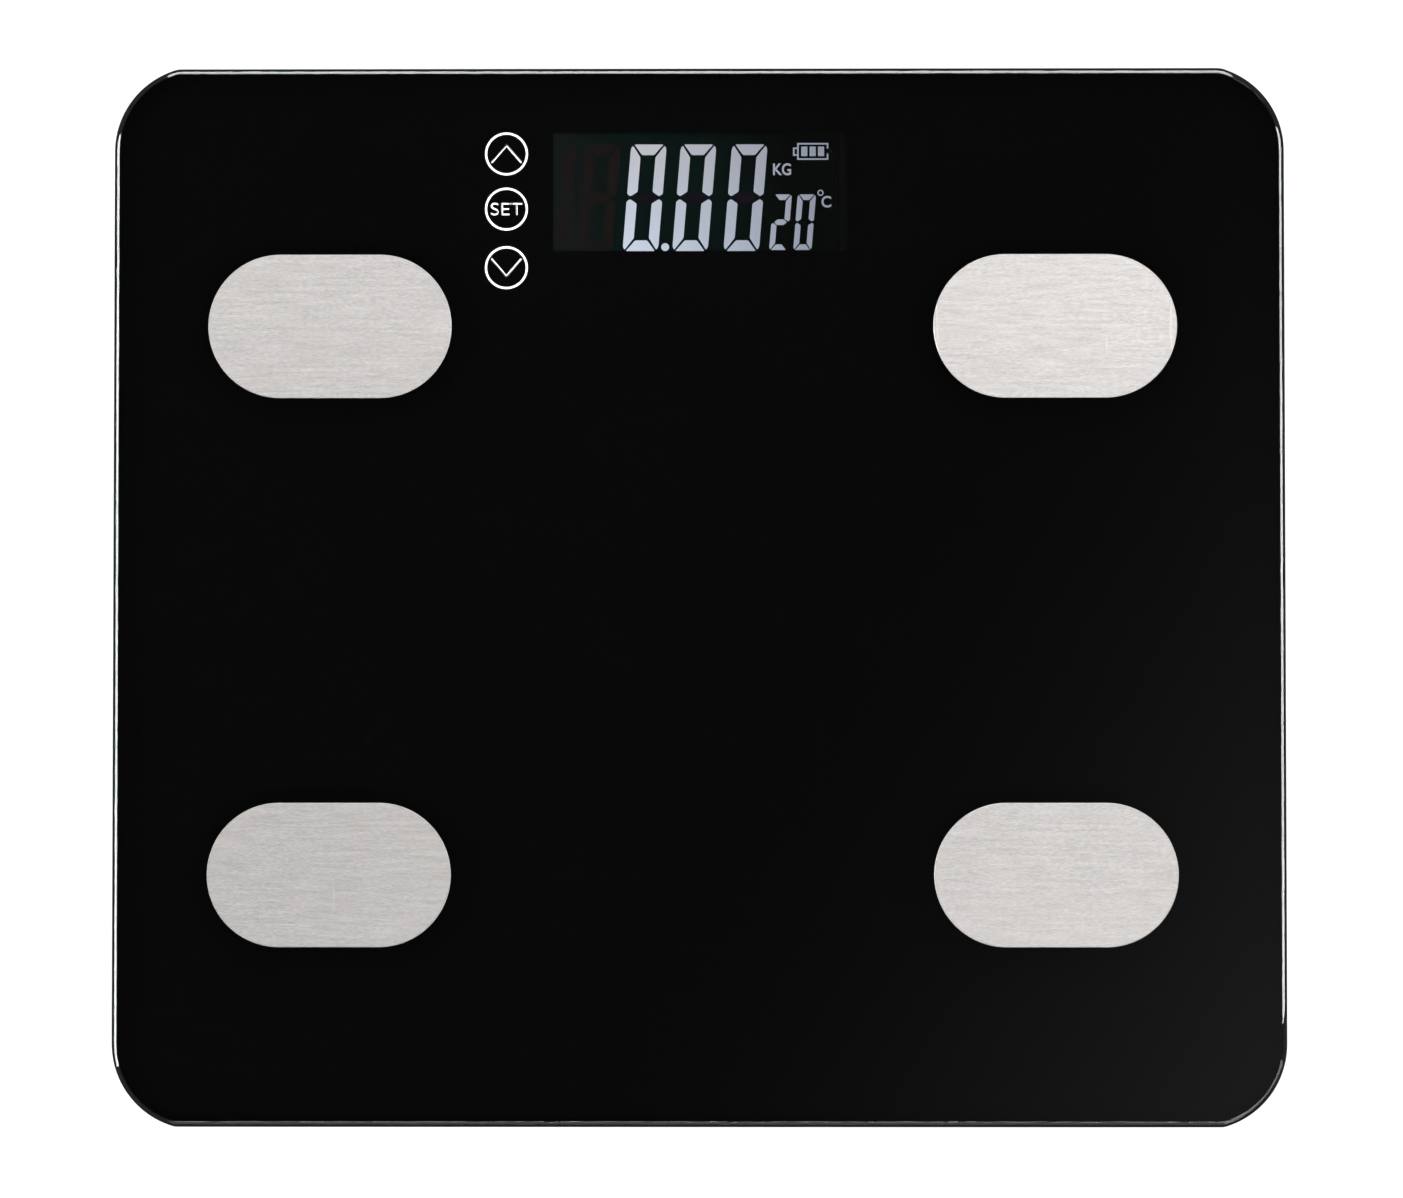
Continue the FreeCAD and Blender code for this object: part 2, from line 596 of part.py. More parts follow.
def electrode_lugs():
    """A ring lug under each stud, its crimp pointing to the middle of the platform."""
    lugs = []
    for corner, (side, _) in CORNERS.items():
        x, y = electrode_place(corner)
        inward = "-1" if side > 0 else "1"
        ring = cylinder("lug_ring", x, y, "lug_base", "lug_radius", "lug_thick")
        tail = box("lug_tail", f"{x} + {inward} * lug_reach / 2", y, "lug_base",
                   "lug_reach", "2 * crimp_radius", "lug_thick")
        crimp_end = f"{x} + {inward} * (lug_reach - crimp_length / 2) - crimp_length / 2"
        crimp = rod("lug_crimp", crimp_end, y, "lug_base - crimp_radius / 2", "crimp_radius", "crimp_length")
        lugs.append(cut("lug", fuse("lug_blank", ring, tail, crimp), stud_bore(x, y)))
    return subpart("electrode_lugs", group("electrode_lugs", lugs))


def electrode_nuts():
    nuts = []
    for corner in CORNERS:
        x, y = electrode_place(corner)
        hexagon = doc.addObject("Part::Prism", "nut_hexagon")
        hexagon.Polygon = 6
        hexagon.setExpression("Circumradius", bound("nut_radius"))
        hexagon.setExpression("Height", bound("nut_thick"))
        place(hexagon, x, y, "lug_base - nut_thick")
        nuts.append(cut("nut", hexagon, stud_bore(x, y)))
    return subpart("electrode_nuts", group("electrode_nuts", nuts))


# ---- tray ------------------------------------------------------------------------------------------

def foot_place(corner):
    side, end = CORNERS[corner]
    return f"{side} * foot_pitch_x / 2", f"{end} * foot_pitch_y / 2"


def board_hole_places():
    across, along = "(board_width / 2 - board_hole_inset)", "(board_depth / 2 - board_hole_inset)"
    return [(f"board_x + {i} * {across}", f"board_y + {k} * {along}") for i in (-1, 1) for k in (-1, 1)]


def wells(body, level, radius, length, cutting=True, up=False):
    """A round pad or pocket at each foot."""
    sketch = new_sketch(body, level)
    for corner in CORNERS:
        circle(sketch, *foot_place(corner), radius)
    return pocket(body, sketch, length, up) if cutting else pad(body, sketch, length)


def tray_wells(body):
    """Open below: a deep well for each load cell and foot, with room above the cell for it to flex."""
    wells(body, "tray_floor", "well_radius + well_wall", "tray_height - floor_thick", cutting=False)
    wells(body, "foot_gap", "well_radius", "well_depth", up=True)
    wells(body, "tray_top", "well_radius - well_lip", "tray_height - well_depth - roof_thick")
    flex = new_sketch(body, "well_roof")
    notch = new_sketch(body, "cell_base - notch_below")
    for corner, (side, _) in CORNERS.items():
        x, y = foot_place(corner)
        inward = "-1" if side > 0 else "1"
        rectangle(flex, f"{x} + {inward} * flex_shift", y, "flex_length", "flex_width")
        rectangle(notch, f"{x} + {inward} * (well_radius + well_wall / 2)", y, "notch_length", "notch_width")
    pocket(body, flex, "flex_room", up=True)
    pocket(body, notch, "cell_thick + notch_below + notch_above", up=True)


def tray_ribs(body):
    """Ribs that carry the glass, clear of the routes that the leads take."""
    along_x = new_sketch(body, "tray_floor")
    along_y = new_sketch(body, "tray_floor")
    for side in (-1, 1):
        for step in (-1, 0, 1):
            rectangle(along_x, f"{side} * side_rib_x", f"{step} * side_rib_pitch", "side_rib_length",
                      "rib_thick")
        rectangle(along_x, "0", f"cross_rib_y + {side} * cross_rib_pitch / 2", "cross_rib_length",
                  "rib_thick")
        rectangle(along_y, f"{side} * long_rib_x", "0", "rib_thick", "long_rib_length")
    for step in (-1, 0, 1):
        rectangle(along_y, f"{step} * front_rib_pitch", "front_rib_y", "rib_thick", "front_rib_length")
    pad(body, along_x, "tray_height - floor_thick")
    pad(body, along_y, "tray_height - floor_thick")


def tray_bay(body):
    """The battery bay: a thick ledge round the door recess, and walls and a roof round the cells."""
    ledge = new_sketch(body, "tray_floor")
    rectangle(ledge, "0", "bay_y", "ledge_length", "ledge_width")
    pad(body, ledge, "ledge_thick")
    block = new_sketch(body, "tray_floor")
    rectangle(block, "0", "bay_y", "bay_length + 2 * bay_wall", "bay_width + 2 * bay_wall")
    pad(body, block, "tray_height - floor_thick")
    recess = new_sketch(body, "foot_gap")
    rounded(recess, "0", "bay_y", "door_length + 2 * door_play", "door_width + 2 * door_play",
            "door_corner + door_play")
    pocket(body, recess, "door_recess", up=True)
    inside = new_sketch(body, "foot_gap")
    rectangle(inside, "0", "bay_y", "bay_length", "bay_width")
    pocket(body, inside, "bay_height", up=True)
    slots = new_sketch(body, "foot_gap + door_thick + tab_rise - tab_thick")
    notches = new_sketch(body, "battery_height + bay_lead_rise - lead_play")
    for side in (-1, 1):
        rectangle(slots, "-recess_end", f"bay_y + {side} * tab_spacing / 2", "2 * tab_slot",
                  "tab_width + 2 * overrun")
        rectangle(notches, "-bay_end - bay_wall / 2", f"bay_y + {side} * battery_spacing / 2",
                  "bay_wall + 2 * overrun", "2 * (thin_lead_radius + lead_play)")
    pocket(body, slots, "ledge_thick + floor_thick", up=True)
    pocket(body, notches, "2 * (thin_lead_radius + lead_play)", up=True)
    grip = new_sketch(body, "foot_gap")
    circle(grip, "recess_end", "bay_y", "grip_radius")
    pocket(body, grip, "grip_depth", up=True)


def tray_fittings(body):
    """Posts for the circuit board, the unit button's hole and dish, and a blank label recess."""
    posts = new_sketch(body, "tray_floor")
    holes = new_sketch(body, "board_base")
    for x, y in board_hole_places():
        circle(posts, x, y, "post_radius")
        circle(holes, x, y, "post_hole_radius")
    pad(body, posts, "board_base - tray_floor")
    pocket(body, holes, "post_hole_depth")
    dish = new_sketch(body, "foot_gap")
    circle(dish, "button_x", "button_y", "button_dish_radius")
    pocket(body, dish, "button_dish_depth", up=True)
    through = new_sketch(body, "foot_gap")
    circle(through, "button_x", "button_y", "button_hole_radius")
    pocket(body, through, "floor_thick", up=True)
    label = new_sketch(body, "foot_gap")
    rounded(label, "0", "label_y", "label_width", "label_length", "label_corner")
    pocket(body, label, "label_depth", up=True)


def base_tray():
    body = new_body("base_tray")
    outside = new_sketch(body, "foot_gap")
    rounded(outside, "0", "0", "tray_width", "tray_depth", "tray_radius")
    pad(body, outside, "tray_height")
    dress(body, "Fillet", "foot_gap", "tray_round")
    inside = new_sketch(body, "tray_top")
    rounded(inside, "0", "0", "tray_width - 2 * wall_thick", "tray_depth - 2 * wall_thick",
            "tray_radius - wall_thick")
    pocket(body, inside, "tray_height - floor_thick")
    tray_ribs(body)
    tray_bay(body)
    tray_wells(body)
    tray_fittings(body)
    return subpart("base_tray", body)


def platform_tape():
    """Double-sided tape between the tray and the glass: one ring on the rim and one on each foot well."""
    rim = new_body("tape_rim")
    sketch = new_sketch(rim, "tray_top")
    rounded(sketch, "0", "0", "tray_width", "tray_depth", "tray_radius")
    rounded(sketch, "0", "0", "tray_width - 2 * wall_thick", "tray_depth - 2 * wall_thick",
            "tray_radius - wall_thick")
    pad(rim, sketch, "tape_thick")
    rings = [rim]
    for corner in CORNERS:
        ring = new_body("tape_" + corner)
        sketch = new_sketch(ring, "tray_top")
        circle(sketch, *foot_place(corner), "well_radius + well_wall")
        circle(sketch, *foot_place(corner), "well_radius - well_lip")
        pad(ring, sketch, "tape_thick")
        rings.append(ring)
    return subpart("platform_tape", group("platform_tape", rings))


# ---- load cells and feet ---------------------------------------------------------------------------

def load_cell(corner):
    """A square steel plate with a slot that leaves a tongue, which the foot bends."""
    body = new_body("load_cell_" + corner)
    sketch = new_sketch(body)
    rounded(sketch, "0", "0", "cell_side", "cell_side", "cell_corner")
    pad(body, sketch, "cell_thick")
    gap = new_sketch(body)
    inner, outer = "tongue_half", "(tongue_half + tongue_slot)"
    polygon(gap, [("tongue_root", outer), (f"-{outer}", outer), (f"-{outer}", f"-{outer}"),
                  ("tongue_root", f"-{outer}"), ("tongue_root", f"-{inner}"), (f"-{inner}", f"-{inner}"),
                  (f"-{inner}", inner), ("tongue_root", inner)])
    pocket(body, gap, "cell_thick", up=True)
    place(body, *foot_place(corner), "cell_base", turn=180 if CORNERS[corner][0] > 0 else 0)
    return subpart("load_cell_" + corner, body)


def strain_gauges():
    """The gauge at the root of each tongue, under a bead of white silicone."""
    beads = []
    for corner, (side, _) in CORNERS.items():
        x, y = foot_place(corner)
        inward = "-1" if side > 0 else "1"
        bead = box("gauge_bead", f"{x} + {inward} * gauge_x", y, "well_roof",
                   "gauge_length", "gauge_width", "gauge_thick")
        beads.append(rounded_edges("gauge", bead, "well_roof + gauge_thick", "gauge_round"))
    return subpart("strain_gauges", group("strain_gauges", beads))


def foot_ring(corner):
    """The ring that snaps into the mouth of the well and keeps the foot in."""
    body = new_body("foot_ring_" + corner)
    sketch = new_sketch(body)
    circle(sketch, "0", "0", "well_radius - ring_play")
    circle(sketch, "0", "0", "ring_inner_radius")
    pad(body, sketch, "ring_thick")
    dress(body, "Chamfer", "0", "ring_edge")
    place(body, *foot_place(corner), "ring_base")
    return subpart("foot_ring_" + corner, body)


def foot(corner):
    """A moulded cup: a recess below for the pad, a flange that the ring keeps in, and a post in the
    middle that bears on the load cell's tongue. Its own zero height is the floor."""
    body = new_body("foot_" + corner)
    skirt = "(foot_radius - skirt_thick)"
    cup_floor = "(pad_thick + foot_floor)"
    revolve(body, [
        ("0", "pad_thick"), ("pad_radius", "pad_thick"), ("pad_radius", "foot_base"),
        ("foot_radius - foot_edge", "foot_base"), ("foot_radius", "foot_base + foot_edge"),
        ("foot_radius", "flange_base"), ("flange_radius", "flange_base"),
        ("flange_radius", "flange_base + flange_thick"), (skirt, "flange_base + flange_thick"),
        (skirt, cup_floor), ("foot_post_radius", cup_floor), ("foot_post_radius", "cell_base - foot_edge"),
        ("foot_post_radius - foot_edge", "cell_base"), ("0", "cell_base")])
    sketch = new_sketch(body, cup_floor)
    reach = f"({skirt} - foot_post_radius + 2 * rib_overlap)"
    rectangle(sketch, f"foot_post_radius - rib_overlap + {reach} / 2", "0", reach, "foot_rib_thick")
    rib = pad(body, sketch, "flange_base - foot_floor - pad_thick")
    pattern = body.newObject("PartDesign::PolarPattern", body.Name + "_ribs")
    pattern.Originals = [rib]
    pattern.Axis = (sketch, ["N_Axis"])
    pattern.Angle = 360
    pattern.Occurrences = int(value("foot_ribs"))
    body.Tip = pattern
    place(body, *foot_place(corner))
    return subpart("foot_" + corner, body)


def foot_pad(corner):
    """A soft anti-slip disc with two round grooves."""
    body = new_body("foot_pad_" + corner)
    profile = [("0", "0")]
    for groove in ("groove_one", "groove_two"):
        near, far = f"{groove} - groove_width / 2", f"{groove} + groove_width / 2"
        profile += [(near, "0"), (near, "groove_depth"), (far, "groove_depth"), (far, "0")]
    profile += [("pad_radius - pad_round", "0"), ("pad_radius", "pad_round"),
                ("pad_radius", "pad_thick"), ("0", "pad_thick")]
    revolve(body, profile)
    place(body, *foot_place(corner))
    return subpart("foot_pad_" + corner, body)


# ---- circuit board and display ---------------------------------------------------------------------

def main_pcb():
    body = new_body("main_pcb")
    sketch = new_sketch(body, "board_base")
    rounded(sketch, "board_x", "board_y", "board_width", "board_depth", "board_corner")
    for x, y in board_hole_places():
        circle(sketch, x, y, "board_hole_radius")
    pad(body, sketch, "board_thick")
    return subpart("main_pcb", body)


def pcb_screws():
    """Self-tapping screws with a cross recess."""
    screws = []
    for x, y in board_hole_places():
        head = cylinder("screw_head", x, y, "board_top", "screw_head_radius", "screw_head_thick")
        shank = cylinder("screw_shank", x, y, "board_top - screw_length", "screw_radius", "screw_length")
        level = "board_top + screw_head_thick - drive_depth"
        one = box("drive_one", x, y, level, "drive_length", "drive_width", "drive_depth")
        two = box("drive_two", x, y, level, "drive_width", "drive_length", "drive_depth")
        screws.append(cut("screw", fuse("screw_blank", head, shank), fuse("drive", one, two)))
    return subpart("pcb_screws", group("pcb_screws", screws))


def chip_blob():
    """The processor, bonded under the board and covered by a black drop."""
    base = "board_base - blob_thick"
    disc = cylinder("blob_disc", "blob_x", "board_y", base, "blob_radius", "blob_thick")
    return subpart("chip_blob", rounded_edges("chip_blob", disc, base, "blob_round"))


def smd_parts():
    """Small parts under the board: a row of resistors and capacitors, the crystal and the thermistor."""
    parts = []
    for step in range(-4, 2):
        for side in (-1, 1):
            parts.append(box("chip_part", f"board_x + {step} * chip_pitch", f"board_y + {side} * chip_row",
                             "board_base - chip_height", "chip_length", "chip_width", "chip_height"))
    parts.append(rod("crystal", "crystal_x", "board_y", "board_base - crystal_radius", "crystal_radius",
                     "crystal_length"))
    parts.append(box("thermistor", "board_x - board_width / 2 + thermistor_inset",
                     "board_y - thermistor_inset", "board_base - thermistor_height",
                     "thermistor_length", "thermistor_width", "thermistor_height"))
    return subpart("smd_parts", group("smd_parts", parts))


def unit_switch():
    """The press switch under the board, with a blind bore for its plunger."""
    case = box("switch_case", "button_x", "button_y", "board_base - switch_height",
               "switch_side", "switch_side", "switch_height")
    bore = cylinder("switch_bore", "button_x", "button_y", "board_base - switch_height - overrun",
                    "plunger_radius + plunger_play", "plunger_bore + overrun")
    return subpart("unit_switch", cut("unit_switch", case, bore))


def switch_plunger():
    made = cylinder("switch_plunger", "button_x", "button_y", "flange_top", "plunger_radius",
                    "board_base - switch_height + plunger_engaged - flange_top")
    return subpart("switch_plunger", made)


def unit_button():
    """The cap under the tray. Its flange keeps it from falling out."""
    body = new_body("unit_button")
    revolve(body, [
        ("0", "foot_gap + button_recess"), ("button_radius - button_edge", "foot_gap + button_recess"),
        ("button_radius", "foot_gap + button_recess + button_edge"), ("button_radius", "tray_floor"),
        ("button_flange_radius", "tray_floor"), ("button_flange_radius", "flange_top"), ("0", "flange_top")])
    place(body, "button_x", "button_y")
    return subpart("unit_button", body)


# Each lead's place along the front edge of the board, in steps from its middle header.
HEADER_STEPS = {
    "cell_rear_left": -4.5, "electrode_rear_left": -3.5, "cell_front_left": -2.5,
    "electrode_front_left": -1.5, "battery_negative": -0.5, "battery_positive": 0.5,
    "electrode_front_right": 1.5, "cell_front_right": 2.5, "electrode_rear_right": 3.5,
    "cell_rear_right": 4.5,
}


def header_x(wire):
    return f"(window_x - header_shift + {HEADER_STEPS[wire]} * header_pitch)"


def lead_headers():
    """A socket on the board's front edge for each lead."""
    sockets = []
    for wire in HEADER_STEPS:
        width = "cell_header" if wire.startswith("cell") else "lead_header"
        sockets.append(box("socket", header_x(wire), "board_front + header_setback + header_depth / 2",
                           "board_top", width, "header_depth", "header_height"))
    return subpart("lead_headers", group("lead_headers", sockets))


def lcd_frame():
    """The moulded frame that stacks the reflector, light guide and display over the board."""
    body = new_body("lcd_frame")
    sketch = new_sketch(body, "board_top")
    rounded(sketch, "frame_x", "frame_y", "frame_width", "frame_depth", "frame_corner")
    rectangle(sketch, "lcd_x", "lcd_y + pin_room / 2", "lcd_width + 2 * lcd_play",
              "lcd_depth + 2 * lcd_play + pin_room")
    pad(body, sketch, "frame_height")
    return subpart("lcd_frame", body)


def lcd_panel():
    """Two sheets of glass with the crystal between them. The rear sheet stands out as a contact ledge."""
    low = box("lcd_rear", "lcd_x", "lcd_y", "frame_top - lcd_thick",
              "lcd_width", "lcd_depth", "lcd_thick / 2")
    high = box("lcd_front", "lcd_x", "lcd_y - lcd_ledge / 2", "frame_top - lcd_thick / 2",
               "lcd_width", "lcd_depth - lcd_ledge", "lcd_thick / 2")
    return subpart("lcd_panel", fuse("lcd_panel", low, high))


def lcd_pins():
    """Pins from the display's contact ledge down to the board."""
    pins = []
    for k in range(int(value("pin_count"))):
        across = f"lcd_x + ({k} - (pin_count - 1) / 2) * pin_pitch"
        pins.append(box("pin", across, "lcd_y + lcd_depth / 2 + pin_thick / 2",
                        "board_top", "pin_width", "pin_thick", "frame_height - lcd_thick / 2"))
    return subpart("lcd_pins", group("lcd_pins", pins))


def lcd_gasket():
    """Black foam between the display's frame and the ink, open at the window."""
    body = new_body("lcd_gasket")
    sketch = new_sketch(body, "frame_top")
    rounded(sketch, "frame_x", "frame_y", "frame_width", "frame_depth", "frame_corner")
    rectangle(sketch, "window_x", "window_y", "window_width + 2 * gasket_play",
              "window_depth + 2 * gasket_play")
    pad(body, sketch, "print_base - frame_top")
    return subpart("lcd_gasket", body)


def backlight():
    """A white film, the acrylic guide over it, and the lamps at the guide's left end."""
    film = box("backlight_reflector", "lcd_x", "lcd_y", "board_top + film_gap",
               "guide_width", "guide_depth", "reflector_thick")
    subpart("backlight_reflector", film)
    base = "board_top + 2 * film_gap + reflector_thick"
    subpart("backlight_guide", box("backlight_guide", "lcd_x", "lcd_y", base,
                                   "guide_width", "guide_depth", "guide_thick"))
    lamps = []
    for k in (-1, 0, 1):
        lamps.append(box("lamp", "lcd_x - guide_width / 2 - film_gap - led_thick / 2",
                         f"lcd_y + {k} * led_pitch", "board_top + led_rise",
                         "led_thick", "led_width", "led_height"))
    subpart("backlight_leds", group("backlight_leds", lamps))


def touch_pillars():
    """A springy conductive pillar under each key, which carries the touch of a finger to the board."""
    pillars = []
    for key, y in KEYS.items():
        body = new_body("pillar_" + key)
        waist, height = "(pillar_radius - pillar_waist)", "(print_base - board_top - pillar_play)"
        revolve(body, [
            ("0", "0"), ("pillar_radius", "0"), ("pillar_radius", "pillar_rim"),
            (waist, "pillar_rim + pillar_waist"), (waist, f"{height} - pillar_rim - pillar_waist"),
            ("pillar_radius", f"{height} - pillar_rim"), ("pillar_radius", height), ("0", height)])
        pillars.append(place(body, "key_x", y, "board_top"))
    return subpart("touch_pillars", group("touch_pillars", pillars))


# ---- batteries -------------------------------------------------------------------------------------

CELLS = {"battery_front": -1, "battery_rear": 1}


def cell_y(side):
    return f"bay_y + {side} * battery_spacing / 2"


def battery(name, side):
    """A size AAA cell along X. The two lie head to tail."""
    body = new_body(name)
    revolve(body, [
        ("0", "0"), ("battery_radius - battery_round", "0"), ("battery_radius", "battery_round"),
        ("battery_radius", "battery_length - battery_round"),
        ("battery_radius - battery_round", "battery_length"), ("battery_tip_radius", "battery_length"),
        ("battery_tip_radius", "battery_length + battery_tip"), ("0", "battery_length + battery_tip")])
    turned = FreeCAD.Rotation(FreeCAD.Vector(0, 1, 0), -90 * side)
    body.Placement = FreeCAD.Placement(FreeCAD.Vector(), turned)
    far_end = "battery_length + battery_tip - (bay_end - terminal_thick - battery_play)"
    body.setExpression("Placement.Base.x", bound(f"{side} * ({far_end})"))
    body.setExpression("Placement.Base.y", bound(cell_y(side)))
    body.setExpression("Placement.Base.z", bound("battery_height"))
    return subpart(name, body)


def leaf_outline():
    """A bowed strip: its outer side from base to tip and back, then its inner side."""
    outside = [("0", "leaf_half"), ("leaf_reach - leaf_tip", "leaf_flat + leaf_tip / 2"),
               ("leaf_reach", "leaf_flat")]
    inside = [("leaf_reach - leaf_thick", "leaf_flat - leaf_thick / 4"),
              ("leaf_reach - leaf_tip - leaf_thick", "leaf_flat + leaf_tip / 2 - leaf_thick"),
              ("0", "leaf_half - 1.4 * leaf_thick")]
    under_outside = [(x, f"-({z})") for x, z in reversed(outside)]
    under_inside = [(x, f"-({z})") for x, z in reversed(inside)]
    return outside + under_outside + under_inside + inside


def battery_contacts():
    """A plate at both ends of each cell, and a bowed leaf spring between a plate and the cell's flat end."""
    plates, leaves = [], []
    for side in CELLS.values():
        for end in (-1, 1):
            plates.append(box("plate", f"{end} * (bay_end - terminal_thick / 2)", cell_y(side),
                              "battery_height - terminal_side / 2", "terminal_thick",
                              "terminal_side", "terminal_side"))
        leaf = new_body("leaf")
        sketch = new_sketch(leaf, plane="XZ_Plane")
        polygon(sketch, leaf_outline())
        pad(leaf, sketch, "leaf_width", both=True)
        place(leaf, f"{side} * (bay_end - terminal_thick)", cell_y(side), "battery_height",
              turn=180 if side > 0 else 0)
        leaves.append(leaf)
    subpart("battery_terminals", group("battery_terminals", plates))
    subpart("battery_springs", group("battery_springs", leaves))


def battery_door():
    """A flat door with two tabs at its left end and a sprung catch with a finger edge at its right."""
    body = new_body("battery_door")
    plate = new_sketch(body, "foot_gap")
    rounded(plate, "0", "bay_y", "door_length", "door_width", "door_corner")
    pad(body, plate, "door_thick")
    tabs = new_sketch(body, "foot_gap + door_thick + tab_rise - tab_thick")
    for side in (-1, 1):
        rectangle(tabs, "-(door_length + tab_length - tab_root) / 2", f"bay_y + {side} * tab_spacing / 2",
                  "tab_length + tab_root", "tab_width")
    pad(body, tabs, "tab_thick")
    slit = new_sketch(body, "foot_gap")
    right, inner = "(door_length / 2)", "(door_length / 2 - latch_length)"
    wide, narrow = "(latch_width / 2 + latch_gap)", "(latch_width / 2)"
    for sign in ("+", "-"):
        polygon(slit, [(inner, f"bay_y {sign} {narrow}"), (f"{right} + overrun", f"bay_y {sign} {narrow}"),
                       (f"{right} + overrun", f"bay_y {sign} {wide}"), (inner, f"bay_y {sign} {wide}")])
    pocket(body, slit, "door_thick", up=True)
    nib = new_sketch(body, "foot_gap + nib_level")
    rectangle(nib, right, "bay_y", "2 * nib_reach", "latch_width - 2 * nib_inset")
    pad(body, nib, "nib_height")
    ridges = new_sketch(body, "foot_gap")
    for k in range(3):
        rectangle(ridges, f"{right} - ridge_start - {k} * ridge_pitch", "bay_y", "ridge_width",
                  "latch_width - 2 * nib_inset")
    pocket(body, ridges, "ridge_depth", up=True)
    return subpart("battery_door", body)


# ---- leads -----------------------------------------------------------------------------------------

def mirrored(places, side):
    """Places written for the left half, moved to the right half about the middle header."""
    if side < 0:
        return places
    return [(f"2 * (window_x - header_shift) - ({x})", y, z) for x, y, z in places]


def to_header(wire):
    """The last places of a lead: up beside the board and straight into its socket."""
    x = header_x(wire)
    return [(x, "board_front - header_run", "header_level"),
            (x, "board_front + header_setback", "header_level")]


def cell_leads():
    """From each load cell, out of its well, along the tray's floor and up to the board."""
    for side, name in ((-1, "left"), (1, "right")):
        inward = "-1" if side > 0 else "1"
        level = "cell_base + cell_thick / 2"
        for end in ("rear", "front"):
            corner = f"{end}_{name}"
            x, y = foot_place(corner)
            start = [(f"{x} + {inward} * cell_side / 2", y, level), (f"{x} + {inward} * 31", y, level)]
            if end == "rear":
                middle = [("-78", "92", "lead_level"), ("-74", "76", "lead_level"),
                          ("-58", "67", "lead_level"), ("-44", "62", "lead_level + 1.5")]
            else:
                middle = [("-80", "-92", "lead_level"), ("-78", "-60", "lead_level"),
                          ("-79", "-20", "lead_level"), ("-78", "18", "lead_level"),
                          ("-68", "40", "lead_level"), ("-46", "47", "lead_level"),
                          ("-30", "50", "lead_level + 1")]
            header = "cell_" + corner
            lead("load_cell_lead_" + corner, start + mirrored(middle, side) + to_header(header),
                 "cell_lead_radius")


def electrode_leads():
    """From each lug, under the glass and over the load cell's lead, then down and up to the board."""
    for side, name in ((-1, "left"), (1, "right")):
        inward = "-1" if side > 0 else "1"
        level = "lug_base - crimp_radius / 2"
        for end in ("rear", "front"):
            corner = f"{end}_{name}"
            x, y = electrode_place(corner)
            start = [(f"{x} + {inward} * lug_reach", y, level), (f"{x} + {inward} * 14", y, level)]
            if end == "rear":
                middle = [("-72", "64", "lead_level + 3"), ("-62", "57", "lead_level"),
                          ("-44", "54", "lead_level"), ("-33", "58", "lead_level + 2.5")]
            else:
                middle = [("-68", "-64", "lead_level + 4"), ("-65", "-44", "lead_level"),
                          ("-66", "-10", "lead_level"), ("-62", "14", "lead_level"),
                          ("-46", "30", "lead_level"), ("-24", "36", "lead_level"),
                          ("-15", "50", "lead_level + 2.5")]
            header = "electrode_" + corner
            lead("electrode_lead_" + corner, start + mirrored(middle, side) + to_header(header),
                 "thin_lead_radius")


def battery_leads():
    """From the two plates at the bay's left end to the board."""
    level = "battery_height + bay_lead_rise + thin_lead_radius"
    for pole, side in (("positive", -1), ("negative", 1)):
        wire = "battery_" + pole
        y = cell_y(side)
        turn_x = "-36" if pole == "negative" else "-40"
        turn_y = "22" if pole == "negative" else "24"
        start = [("-bay_end", y, level), (turn_x, y, level)]
        if pole == "negative":
            middle = [(f"{turn_x} + 1", "18", "lead_level + 4"), ("-24", "26", "lead_level + 1"),
                      ("-7", "38", "lead_level + 1")]
        else:
            middle = [(f"{turn_x} + 1", "20", "lead_level + 1.8"), ("-20", "21", "lead_level"),
                      ("1", "34", "lead_level")]
        lead("battery_lead_" + pole, start + middle + to_header(wire), "thin_lead_radius")


# ---- the whole scale -------------------------------------------------------------------------------

def build():
    glass_platform()
    back_print(key_legends())
    for corner in CORNERS:
        electrode(corner)
        load_cell(corner)
        foot_ring(corner)
        foot(corner)
        foot_pad(corner)
    electrode_adhesives()
    electrode_lugs()
    electrode_nuts()
    base_tray()
    platform_tape()
    strain_gauges()
    main_pcb()
    pcb_screws()
    chip_blob()
    smd_parts()
    unit_switch()
    switch_plunger()
    unit_button()
    lead_headers()
    lcd_frame()
    lcd_panel()
    lcd_pins()
    lcd_gasket()
    backlight()
    touch_pillars()
    for name, side in CELLS.items():
        battery(name, side)
    battery_contacts()
    battery_door()
    cell_leads()
    electrode_leads()
    battery_leads()


def check_and_write():
    """Stops if anything failed to build, then writes each sub-part."""
    doc.recompute()
    failed = [o.Name for o in doc.Objects if {"Invalid", "Error"} & set(o.State)]
    for name, made in subparts.items():
        if made.Shape.isNull() or not made.Shape.isValid() or not made.Shape.Solids:
            failed.append(name)
    if failed:
        raise RuntimeError(f"failed: {failed}")
    os.makedirs("parts", exist_ok=True)
    for old in os.listdir("parts"):
        os.remove(os.path.join("parts", old))
    for name, made in subparts.items():
        made.Shape.exportStep(os.path.join("parts", name + ".step"))
    print(f"{len(subparts)} sub-parts written")


build()
check_and_write()
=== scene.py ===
# The looks of a glass-top electronic bathroom scale. Lengths are in metres, in the part's own frame:
# X to the user's right, Y from the heels towards the display, Z up from the floor.
import json
import math

import bmesh
import bpy
from mathutils import Matrix, Vector


